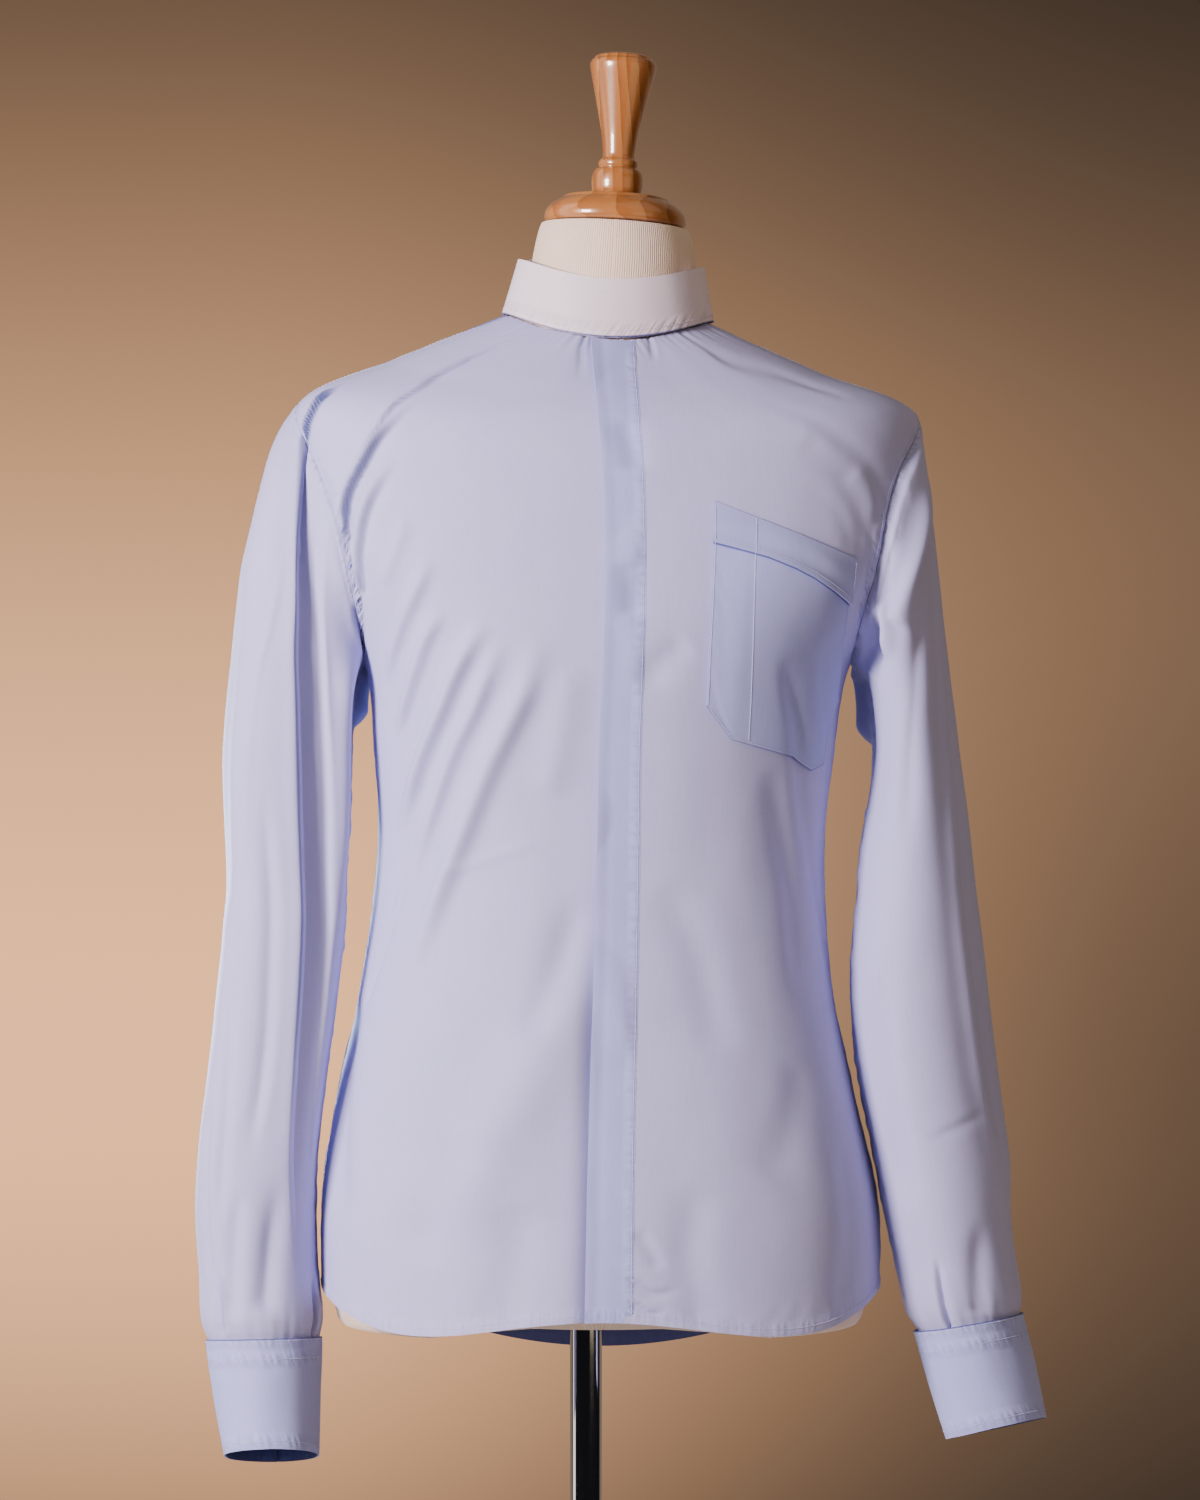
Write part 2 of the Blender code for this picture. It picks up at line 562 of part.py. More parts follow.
def add_form(jersey):
    """The limbless form, closed below and at the shoulders, up to its neck's flat top."""
    mesh = bmesh.new()
    turns = [2 * math.pi * c / FORM_COLUMNS for c in range(FORM_COLUMNS)]
    insets = Sections(("face", "flank"), form_insets)
    offset = torso.level("hips")
    rings = []

    def body_ring(v):
        ring = []
        for turn in turns:
            point, normal = spot(torso_point, turn, v)
            share = math.sin(turn) ** 6
            distance = mix(insets.at("face", v - offset), insets.at("flank", v - offset), share)
            ring.append(point - normal * distance)
        return ring

    hips = body_ring(offset)
    middle = sum(hips, Vector()) / len(hips)
    for height, size in ((0.0, 0.15), (0.0, 0.955), (0.006, 0.985), (0.030, 1.0)):
        ring = []
        for turn, point in zip(turns, hips):
            front = 0.008 * max(0.0, math.cos(turn)) if size > 0.5 else 0.0
            place = mix(middle, point, size)
            ring.append(Vector((place.x, place.y, FORM_BOTTOM + height + front)))
        rings.append(ring)
    for i in range(27):
        rings.append(body_ring(mix(offset, NECKLINE, i / 26)))
    for height, middle_x, half, depth, tilt in neck_rings:
        rings.append(
            [
                Vector((
                    middle_x + half * math.sin(t),
                    -depth * math.cos(t),
                    height - tilt * half * math.sin(t),
                ))
                for t in turns
            ]
        )
    made = [[mesh.verts.new(p) for p in ring] for ring in rings]
    for low, high in zip(made, made[1:]):
        for c in range(FORM_COLUMNS):
            d = (c + 1) % FORM_COLUMNS
            mesh.faces.new((low[c], low[d], high[d], high[c]))
    mesh.faces.new(made[0])
    mesh.faces.new(made[-1])
    return add_object("form_torso", mesh, jersey)


def add_turned(name, profile, place, lean, surface):
    """A turned piece on an axis that leans towards +X."""
    mesh = bmesh.new()
    spine = [mesh.verts.new((r, 0.0, z)) for r, z in profile]
    edges = [mesh.edges.new(pair) for pair in zip(spine, spine[1:])]
    bmesh.ops.spin(
        mesh,
        geom=spine + edges,
        cent=(0.0, 0.0, 0.0),
        axis=(0.0, 0.0, 1.0),
        angle=2 * math.pi,
        steps=TURNED_STEPS,
        use_merge=True,
    )
    bmesh.ops.remove_doubles(mesh, verts=mesh.verts, dist=0.00001)
    matrix = Matrix.Translation(place) @ Matrix.Rotation(lean, 4, "Y")
    bmesh.ops.transform(mesh, matrix=matrix, verts=mesh.verts)
    return add_object(name, mesh, surface)


def add_stand(wood, chrome, plate):
    add_turned("neck_cap", cap_profile, CAP_AT + Vector((0.0, 0.0, GAP)), FORM_LEAN, wood)
    up = Vector((math.sin(FORM_LEAN), 0.0, math.cos(FORM_LEAN)))
    on_cap = CAP_AT + up * (cap_profile[-1][1] + 3 * GAP)
    add_turned("finial", finial_profile, on_cap, FORM_LEAN, wood)
    foot = PLATE_HEIGHT + GAP
    pole_profile = ((0.0, foot), (POLE_RADIUS, foot), (POLE_RADIUS, POLE_TOP), (0.0, POLE_TOP))
    add_turned("pole", pole_profile, Vector(), 0.0, chrome)
    edge = 0.002
    plate_profile = (
        (0.0, 0.0),
        (PLATE_RADIUS, 0.0),
        (PLATE_RADIUS, PLATE_HEIGHT - edge),
        (PLATE_RADIUS - edge, PLATE_HEIGHT),
        (0.0, PLATE_HEIGHT),
    )
    add_turned("base_plate", plate_profile, Vector(), 0.0, plate)


def main():
    for old in list(bpy.data.objects):
        bpy.data.objects.remove(old, do_unlink=True)
    cloth = material("shirt_blue", (0.52, 0.60, 0.78), 0.75)
    double_cloth = material("shirt_blue_double", (0.42, 0.54, 0.78), 0.75)
    white = material("collar_white", (0.85, 0.84, 0.82), 0.55)
    pearl = material("button_pearl", (0.75, 0.78, 0.84), 0.25)
    brass = material("stud_brass", (0.70, 0.52, 0.25), 0.25, 1.0)
    jersey = material("form_jersey", (0.80, 0.72, 0.60), 0.9)
    wood = material("turned_wood", (0.55, 0.25, 0.08), 0.3)
    chrome = material("chrome", (0.75, 0.75, 0.76), 0.08, 1.0)
    plate = material("plate_steel", (0.40, 0.40, 0.41), 0.35, 1.0)
    add_body(cloth)
    add_placket(double_cloth)
    add_pocket(double_cloth)
    for side in sleeves:
        add_sleeve(side, cloth, pearl)
    add_neck(cloth, white, brass)
    add_form(jersey)
    add_stand(wood, chrome, plate)


main()
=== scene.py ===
import math
from bisect import bisect_right
from functools import lru_cache

import bmesh
import bpy
from mathutils import Matrix, Vector, noise


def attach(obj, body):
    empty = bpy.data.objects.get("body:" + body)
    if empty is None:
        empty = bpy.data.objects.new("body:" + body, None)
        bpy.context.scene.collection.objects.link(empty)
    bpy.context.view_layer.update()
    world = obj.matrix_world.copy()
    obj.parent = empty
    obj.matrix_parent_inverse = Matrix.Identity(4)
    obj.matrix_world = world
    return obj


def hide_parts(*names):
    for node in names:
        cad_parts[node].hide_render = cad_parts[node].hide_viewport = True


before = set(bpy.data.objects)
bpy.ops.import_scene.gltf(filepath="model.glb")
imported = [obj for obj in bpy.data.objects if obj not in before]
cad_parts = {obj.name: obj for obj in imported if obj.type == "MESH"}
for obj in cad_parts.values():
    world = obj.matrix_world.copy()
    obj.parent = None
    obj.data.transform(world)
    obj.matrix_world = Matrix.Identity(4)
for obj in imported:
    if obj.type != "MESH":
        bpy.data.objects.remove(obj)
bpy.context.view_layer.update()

print("frame loaded:", len(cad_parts), "nodes")

# metres, +Z up, the front faces -Y and +X is the wearer's left


def mix(start, end, t):
    return start + (end - start) * t


def ease(start, end, value):
    t = min(max((value - start) / (end - start), 0.0), 1.0)
    return t * t * (3 - 2 * t)


def runOf(points):
    # how far along each point is on the line through them
    run = [0.0]
    for start, end in zip(points, points[1:]):
        run.append(run[-1] + (end - start).length)
    return run


class Rows:
    # a table of sizes, read as smooth curves through its rows
    def __init__(self, columns, rows):
        self.names = list(rows)
        self.columns = {c: [row[i] for row in rows.values()] for i, c in enumerate(columns)}
        self.last = len(self.names) - 1

    def level(self, name):
        return float(self.names.index(name))

    def at(self, column, v):
        values = self.columns[column]
        v = min(max(v, 0.0), self.last)
        i = min(int(v), self.last - 1)
        t = v - i
        before, start = values[max(i - 1, 0)], values[i]
        end, after = values[i + 1], values[min(i + 2, self.last)]
        bend = (2 * before - 5 * start + 4 * end - after) * t**2
        return 0.5 * (2 * start + (end - before) * t + bend + (3 * start - before - 3 * end + after) * t**3)


# shader nodes written as sums


class Wire:
    # one output socket; sums on it add Math nodes
    def __init__(self, socket):
        self.socket = socket

    def __add__(self, other):
        return maths("ADD", self, other)

    __radd__ = __add__

    def __mul__(self, other):
        return maths("MULTIPLY", self, other)

    __rmul__ = __mul__

    def __sub__(self, other):
        return maths("SUBTRACT", self, other)

    def __rsub__(self, other):
        return maths("SUBTRACT", other, self)


def plug(node, values):
    for key, value in values.items():
        if isinstance(value, Wire):
            node.id_data.links.new(value.socket, node.inputs[key])
        elif isinstance(value, tuple) and node.inputs[key].type == "RGBA":
            node.inputs[key].default_value = (*value[:3], 1.0)
        else:
            node.inputs[key].default_value = value


def addNode(tree, kind, settings, values, output=0):
    node = tree.nodes.new("ShaderNode" + kind)
    for key, value in settings.items():
        if key == "stops":
            ramp = node.color_ramp.elements
            while len(ramp) < len(value):
                ramp.new(0.5)
            for stop, (position, colour) in zip(ramp, value):
                stop.position, stop.color = position, (*colour, 1.0)
        else:
            setattr(node, key, value)
    plug(node, values)
    return Wire(node.outputs[output])


def maths(operation, *values):
    tree = next(v for v in values if isinstance(v, Wire)).socket.id_data
    return addNode(tree, "Math", {"operation": operation}, dict(enumerate(values)))


def blendColour(factor, first, second, how="MIX"):
    settings = {"data_type": "RGBA", "blend_type": how}
    return addNode(factor.socket.id_data, "Mix", settings, {0: factor, 6: first, 7: second}, 2)


def scaled(vector, scale, turn=(0.0, 0.0, 0.0), shift=(0.0, 0.0, 0.0)):
    values = {"Vector": vector, "Scale": scale, "Rotation": turn, "Location": shift}
    return addNode(vector.socket.id_data, "Mapping", {}, values)


def speckle(vector, scale, detail=2.0, roughness=0.5, distortion=0.0):
    values = {"Vector": vector, "Scale": scale, "Detail": detail, "Roughness": roughness, "Distortion": distortion}
    return addNode(vector.socket.id_data, "TexNoise", {}, values)


def faded(value, low, high, start=0.0, end=1.0):
    values = {"Value": value, "From Min": low, "From Max": high, "To Min": start, "To Max": end}
    return addNode(value.socket.id_data, "MapRange", {"interpolation_type": "SMOOTHSTEP"}, values)


def bumped(height, strength, distance, under=None):
    values = {"Height": height, "Strength": strength, "Distance": distance}
    if under:
        values["Normal"] = under
    return addNode(height.socket.id_data, "Bump", {}, values)


def newFinish(name):
    made = bpy.data.materials.new(name)
    made.use_nodes = True
    return made, made.node_tree, made.node_tree.nodes["Principled BSDF"]


def placeOn(tree):
    # the place on the piece, in metres
    return addNode(tree, "TexCoord", {}, {}, 3)


def clothOn(tree):
    # the place on the cloth, along its threads
    return addNode(tree, "UVMap", {"uv_map": "cloth"}, {})


# two of these marks carry painted shade: nearness to an edge painted dark, and shade painted into creases
clothMarks = ("stitch", "rim", "along", "ruck", "hollow")  # what each knot of a sheet tells its finish
cotton = {
    "shirt": {"dark": (0.405, 0.398, 0.740), "light": (0.485, 0.460, 0.795), "rough": 0.70},
    "double": {"dark": (0.352, 0.376, 0.790), "light": (0.428, 0.436, 0.870), "rough": 0.72},
    "thread": {"dark": (0.500, 0.520, 0.800), "light": (0.610, 0.625, 0.870), "rough": 0.60},
    "collar": {"dark": (0.700, 0.590, 0.735), "light": (0.800, 0.672, 0.832), "rough": 0.50},
}
weave = {"across": 2600.0, "along": 60.0, "slub": (700.0, 26.0, 1.0), "drift": 9.0, "ripple": 55.0, "puckers": 215.0}
# the colours of painted shade: along shaded edges, deep in sharp creases, in the troughs of seam puckers
shade = {"rim": (0.16, 0.18, 0.42), "hollow": (0.10, 0.13, 0.28), "pucker": (0.14, 0.19, 0.42)}
sheen, gloss = 0.05, 0.32


def cottonFinish(name, kind):
    # plain-woven shirting: two thread directions and slubs, and a pressed line beside each row of stitches; painted
    # shade darkens its colour there, along shaded edges, in sharp creases, on inner faces in shade, and in puckers
    made, tree, shader = newFinish(name)
    look, across, along = cotton[kind], weave["across"], weave["along"]
    cloth = clothOn(tree)
    warp = speckle(scaled(cloth, (across, along, 1.0)), 1.0, 2.0, 0.6)
    weft = speckle(scaled(cloth, (along, across, 1.0), shift=(7.0, 3.0, 0.0)), 1.0, 2.0, 0.6)
    slub = speckle(scaled(cloth, weave["slub"], shift=(2.0, 9.0, 0.0)), 1.0, 3.0, 0.6)
    drift, ripple = speckle(cloth, weave["drift"], 3.0), speckle(cloth, weave["ripple"], 2.0)
    seam, rim, run, ruck, hollow = (addNode(tree, "Attribute", {"attribute_name": n}, {}, 2) for n in clothMarks)
    pressedAndShaded, shadowed = faded(seam, 0.25, 1.3, 1.0, 0.0), faded(rim, 0.25, 1.05, 1.0, 0.0)
    wave = speckle(addNode(tree, "CombineXYZ", {}, {"X": run * weave["puckers"], "Y": seam * 0.07}), 1.0, 1.0)
    drawn = faded(seam, 0.5, 7.5, 1.0, 0.0) * ruck
    tone = warp * 0.34 + weft * 0.34 + slub * 0.22 + drift * 0.25 - 0.08
    colour = blendColour(faded(tone, 0.30, 0.72), look["dark"], look["light"])
    # painted shade: slight in the pressed line, a dark line along marked edges, deep in creases, and in pucker troughs
    colour = blendColour(pressedAndShaded * 0.10, colour, look["dark"], "MULTIPLY")
    colour = blendColour(shadowed * 0.85, colour, shade["rim"], "MULTIPLY")
    colour = blendColour(hollow, colour, shade["hollow"], "MULTIPLY")
    colour = blendColour(faded(wave, 0.52, 0.38) * drawn * 0.90, colour, shade["pucker"], "MULTIPLY")
    rucked = bumped(wave * drawn, 1.0, 0.0070)
    soft = bumped(ripple * 0.6 + drift * 0.4 - pressedAndShaded * 0.25, 0.30, 0.0009, rucked)
    plug(shader, {
        "Base Color": colour,
        "Roughness": faded(tone, 0.2, 0.8, look["rough"] + 0.06, look["rough"] - 0.06),
        "Normal": bumped(warp * 0.5 + weft * 0.5 + slub * 0.4, 0.22, 0.00025, soft),
        "Sheen Weight": sheen,
        "Sheen Roughness": 0.45,
        "Specular IOR Level": gloss,
    })
    return made


def threadFinish(name, kind):
    # twisted sewing thread
    made, tree, shader = newFinish(name)
    look = cotton[kind]
    place = placeOn(tree)
    twist = speckle(scaled(place, (2400.0, 2400.0, 2400.0)), 1.0, 2.0, 0.6)
    plug(shader, {
        "Base Color": blendColour(faded(twist, 0.3, 0.7), look["dark"], look["light"]),
        "Roughness": faded(twist, 0.2, 0.8, look["rough"] + 0.06, look["rough"] - 0.06),
        "Normal": bumped(twist, 0.3, 0.0002),
        "Normal": bumped(twist, 0.3, 0.0002),
        "Specular IOR Level": gloss,
    })
    return made


def jerseyFinish(name):
    # fine ribbed knit drawn over the form
    made, tree, shader = newFinish(name)
    cloth = clothOn(tree)
    rib = {"wave_type": "BANDS", "bands_direction": "X", "wave_profile": "SIN"}
    ribs = addNode(tree, "TexWave", rib, {"Vector": cloth, "Scale": 190.0, "Distortion": 0.5, "Detail": 1.0}, 1)
    loops = speckle(scaled(cloth, (900.0, 1400.0, 1.0)), 1.0, 1.0)
    drift = speckle(cloth, 14.0, 4.0, 0.6)
    tone = ribs * 0.30 + loops * 0.25 + drift * 0.45
    colour = blendColour(faded(tone, 0.25, 0.75), (0.70, 0.51, 0.43), (0.90, 0.69, 0.61))
    plug(shader, {
        "Base Color": colour,
        "Roughness": faded(drift, 0.2, 0.8, 0.92, 0.82),
        "Normal": bumped(ribs * 0.8 + loops * 0.3, 0.55, 0.0005),
        "Sheen Weight": 0.35,
        "Sheen Roughness": 0.5,
        "Specular IOR Level": 0.25,
    })
    return made


def woodFinish(name, turn, shift):
    # turned, lacquered hardwood with rings cut into long arches
    made, tree, shader = newFinish(name)
    place = placeOn(tree)
    stock = scaled(place, (1.0, 1.0, 0.16), turn, shift)
    waver = speckle(stock, 22.0, 3.0, 0.55)
    rings = {"wave_type": "RINGS", "rings_direction": "Z", "wave_profile": "SAW"}
    grain = {"Vector": stock, "Scale": 46.0, "Distortion": 3.2, "Detail": 3.0, "Detail Scale": 1.4}
    ring = addNode(tree, "TexWave", rings, grain, 1)
    pores = speckle(scaled(place, (1500.0, 1500.0, 55.0), turn), 1.0, 2.0, 0.7)
    tone = ring * 0.45 + waver * 0.45 + pores * 0.22
    stops = [(0.22, (0.200, 0.062, 0.014)), (0.45, (0.335, 0.112, 0.029)), (0.78, (0.430, 0.168, 0.050))]
    colour = addNode(tree, "ValToRGB", {"stops": stops}, {"Fac": tone})
    plug(shader, {
        "Base Color": colour,
        "Roughness": faded(pores, 0.3, 0.8, 0.34, 0.24),
        "Normal": bumped(ring * 0.3 + pores * 0.5, 0.06, 0.0002),
        "Coat Weight": faded(waver, 0.2, 0.8, 0.75, 0.95),
        "Coat Roughness": 0.06,
    })
    return made


def metalFinish(name, colour, rough, streak, scale, amount):
    # polished or brushed metal; the streaks follow the way that it was finished
    made, tree, shader = newFinish(name)
    place = placeOn(tree)
    lines = speckle(scaled(place, streak), scale, 3.0, 0.6)
    haze = speckle(place, 18.0, 4.0, 0.6)
    plug(shader, {
        "Base Color": blendColour(haze, tuple(c * 0.86 for c in colour), colour),
        "Metallic": 1.0,
        "Roughness": faded(haze * 0.5 + lines * 0.5, 0.25, 0.75, rough * 0.7, rough * 1.4),
        "Normal": bumped(lines, amount, 0.0002),
    })
    return made


def plateFinish(name):
    # steel, turned in rings by the brush
    made, tree, shader = newFinish(name)
    place = placeOn(tree)
    radius = addNode(tree, "VectorMath", {"operation": "LENGTH"}, {"Vector": scaled(place, (1.0, 1.0, 0.0))}, 1)
    bands = addNode(tree, "CombineXYZ", {}, {"X": radius * 1800.0, "Y": radius * 30.0})
    brushed = speckle(bands, 1.0, 3.0, 0.6)
    scuffs = speckle(scaled(place, (30.0, 90.0, 30.0)), 1.0, 5.0, 0.65)
    plug(shader, {
        "Base Color": blendColour(brushed, (0.42, 0.42, 0.43), (0.60, 0.60, 0.61)),
        "Metallic": 1.0,
        "Roughness": faded(scuffs * 0.6 + brushed * 0.4, 0.3, 0.75, 0.30, 0.36),
        "Normal": bumped(brushed, 0.12, 0.0002),
    })
    return made


def pearlFinish(name):
    made, tree, shader = newFinish(name)
    place = placeOn(tree)
    cloud = speckle(place, 240.0, 3.0, 0.6, 1.2)
    streaks = speckle(scaled(place, (300.0, 1500.0, 300.0)), 1.0, 2.0)
    plug(shader, {
        "Base Color": blendColour(faded(cloud, 0.3, 0.7), (0.60, 0.66, 0.78), (0.83, 0.86, 0.90)),
        "Roughness": faded(streaks, 0.3, 0.7, 0.26, 0.16),
        "Normal": bumped(cloud, 0.05, 0.0001),
        "Coat Weight": faded(cloud, 0.2, 0.8, 0.4, 0.7),
    })
    return made


def floorFinish(name):
    made, tree, shader = newFinish(name)
    place = placeOn(tree)
    cloud = speckle(place, 3.0, 4.0, 0.5)
    plug(shader, {
        "Base Color": blendColour(cloud, (0.48, 0.45, 0.42), (0.54, 0.51, 0.47)),
        "Roughness": faded(cloud, 0.2, 0.8, 0.75, 0.6),
    })
    return made


shirtBlue = cottonFinish("shirtPoplin", "shirt")
doubleBlue = cottonFinish("foldedPoplin", "double")
threadBlue = threadFinish("blueThread", "thread")
threadWhite = threadFinish("whiteThread", "collar")
collarWhite = cottonFinish("starchedCollar", "collar")
jersey = jerseyFinish("ribbedJersey")
capWood = woodFinish("capWood", (1.35, 0.2, 0.0), (0.02, 0.11, 0.03))
finialWood = woodFinish("finialWood", (0.10, 0.22, 0.0), (0.022, 0.030, 0.0))
chrome = metalFinish("polishedTube", (0.80, 0.80, 0.82), 0.07, (1.0, 1.0, 0.06), 260.0, 0.02)
brass = metalFinish("brassStud", (0.80, 0.60, 0.30), 0.20, (1.0, 1.0, 1.0), 900.0, 0.05)
steel = plateFinish("plateSteel")
pearl = pearlFinish("pearlButton")
kinds = {
    "shirt": (shirtBlue, "shirt_blue"),
    "double": (doubleBlue, "shirt_double"),
    "collar": (collarWhite, "collar_white"),
    "thread": (threadBlue, "shirt_blue"),
    "collarThread": (threadWhite, "collar_white"),
}
print("finishes made")


# cloth sheets

fabric = {"cell": 0.0028, "fineCell": 0.0020, "single": 0.0009, "double": 0.0015, "collar": 0.0013, "ruck": 0.2}
farOff = 0.01  # a distance at which a seam or rim no longer shows


def settle(piece, nodes, slotName):
    # every finished piece belongs to the one body and stands for its solid
    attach(piece, "root")
    if nodes:
        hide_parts(*nodes)
    return piece


def newPiece(name, mesh, surface, angle=50):
    data = bpy.data.meshes.new(name)
    mesh.to_mesh(data)
    mesh.free()
    data.materials.append(surface)
    data.shade_smooth()
    data.set_sharp_from_angle(angle=math.radians(angle))
    made = bpy.data.objects.new(name, data)
    bpy.context.scene.collection.objects.link(made)
    return made


class Spot:
    __slots__ = ("around", "level", "left", "right", "bottom", "top", "point")


class Sheet:
    # a woven grid; place(a, b) gives a point, how far round it is and its level, with a to the right and b up
    def __init__(self, name, place, size, kind, relief=None, node=None, thickness="single", closed=False, lift=0.0,
                 cell=None, columns=None, stitched=(), rims=(), ruck=None, hollow=None, innerShade=0.0):
        cell = cell or fabric["cell"]
        mesh = bmesh.new()
        seam, rim, along, drawn, deep = (mesh.verts.layers.float.new(n) for n in clothMarks)
        weave = mesh.loops.layers.uv.new("cloth")
        self.columns = columns or max(3, round(size[0] / cell))
        self.rows = max(3, round(size[1] / cell))
        bmesh.ops.create_grid(mesh, x_segments=self.columns, y_segments=self.rows, size=0.5)
        knots = {}
        for vert in mesh.verts:
            knots[round((vert.co.x + 0.5) * self.columns), round((vert.co.y + 0.5) * self.rows)] = vert
        spots = {}
        for (i, j), vert in knots.items():
            spot = spots[i, j] = Spot()
            spot.point, spot.around, spot.level = place(i / self.columns, j / self.rows)
            vert.co = spot.point
        self.measure(spots)
        weaveAt = {vert: (spots[key].left, spots[key].bottom) for key, vert in knots.items()}
        for face in mesh.faces:
            for loop in face.loops:
                loop[weave].uv = weaveAt[loop.vert]
        if closed:
            ends = {knots[self.columns, j]: knots[0, j] for j in range(self.rows + 1)}
            bmesh.ops.weld_verts(mesh, targetmap=ends)
            for j in range(self.rows + 1):
                knots[self.columns, j] = knots[0, j]
        mesh.normal_update()
        moved = {}
        for key, vert in knots.items():
            if closed and key[0] == self.columns:
                continue
            spot = spots[key]
            height = lift + (relief(spot) if relief else 0.0)
            moved[key] = vert.co + vert.normal * height
            near = [(abs(getattr(spot, edge) - distance), edge) for edge, distance in stitched]
            close, edge = min(near, default=(farOff, "left"))
            # nearness to the edges that are painted with a line of shade
            edging = rims(spot) if callable(rims) else min((getattr(spot, edge) for edge in rims), default=farOff)
            vert[seam], vert[rim] = close * 1000, edging * 1000
            vert[along] = spot.bottom if edge in ("left", "right") else spot.left
            vert[drawn] = ruck(spot) if ruck else fabric["ruck"]
            # how much shade is painted here, in sharp creases
            vert[deep] = hollow(spot) if hollow else 0.0
        for key, point in moved.items():
            knots[key].co = point
        mesh.normal_update()
        self.spots = spots
        self.skin = {key: (vert.co.copy(), vert.normal.copy()) for key, vert in knots.items()}
        self.thickness = fabric[thickness]
        for vert in mesh.verts:
            vert.co += vert.normal * self.thickness / 2
        mesh.normal_update()
        outer = set(mesh.verts)
        bmesh.ops.solidify(mesh, geom=mesh.faces[:], thickness=self.thickness)
        # the inner face takes painted shade, for an inside that sits in shade
        for vert in mesh.verts:
            if vert not in outer:
                vert[deep] = max(vert[deep], innerShade)
        surface, slotName = kinds[kind]
        self.piece = settle(newPiece(name + "_cloth", mesh, surface), (node or name,), slotName)

    def measure(self, spots):
        # how far each knot is from the sheet's edges, along the cloth
        for j in range(self.rows + 1):
            row = [spots[i, j] for i in range(self.columns + 1)]
            run = runOf([spot.point for spot in row])
            for spot, along in zip(row, run):
                spot.left, spot.right = along, run[-1] - along
        for i in range(self.columns + 1):
            column = [spots[i, j] for j in range(self.rows + 1)]
            run = runOf([spot.point for spot in column])
            for spot, along in zip(column, run):
                spot.bottom, spot.top = along, run[-1] - along
        self.length = max(spots[i, self.rows].bottom for i in range(self.columns + 1))

    def at(self, a, b):
        # a point on the finished cloth's outer face, with the way out of it
        x, y = min(max(a, 0.0), 1.0) * self.columns, min(max(b, 0.0), 1.0) * self.rows
        i, j = min(int(x), self.columns - 1), min(int(y), self.rows - 1)
        s, t = x - i, y - j
        corners = [self.skin[i + p, j + q] for p, q in ((0, 0), (1, 0), (0, 1), (1, 1))]
        point, way = (
            mix(mix(corners[0][k], corners[1][k], s), mix(corners[2][k], corners[3][k], s), t) for k in (0, 1)
        )
        return point + way.normalized() * self.thickness / 2, way.normalized()

    def beside(self, edge, distance, start=0.0, end=1.0):
        # the line at this distance from an edge
        line = []
        if edge in ("left", "right"):
            for j in range(round(start * self.rows), round(end * self.rows) + 1):
                width = self.spots[self.columns, j].left
                share = min(distance / width, 1.0) if width else 0.0
                line.append(self.at(share if edge == "left" else 1 - share, j / self.rows))
        else:
            for i in range(round(start * self.columns), round(end * self.columns) + 1):
                length = self.spots[i, self.rows].bottom
                share = min(distance / length, 1.0) if length else 0.0
                line.append(self.at(i / self.columns, share if edge == "bottom" else 1 - share))
        return line


stitch = {"pitch": 0.0030, "length": 0.0023, "radius": 0.00024, "proud": 0.00012, "sides": 5}


def addRod(mesh, middle, way, length, radius, sides):
    turn = way.to_track_quat("Z", "Y").to_matrix().to_4x4()
    bmesh.ops.create_cone(
        mesh, cap_ends=True, segments=sides, radius1=radius, radius2=radius, depth=length,
        matrix=Matrix.Translation(middle) @ turn,
    )


def sewThreads(name, lines, kind):
    # a row of short stitches on each line
    mesh = bmesh.new()
    mesh.loops.layers.uv.new("cloth")
    for line in lines:
        travelled, due = 0.0, stitch["pitch"] / 2
        for (start, way), (end, _) in zip(line, line[1:]):
            run = end - start
            length = run.length
            while length > 0 and due <= travelled + length:
                middle = start + run * ((due - travelled) / length) + way * stitch["proud"]
                addRod(mesh, middle, run, stitch["length"], stitch["radius"], stitch["sides"])
                due += stitch["pitch"]
            travelled += length
    surface, slotName = kinds[kind]
    return settle(newPiece(name, mesh, surface, 60), (), slotName)


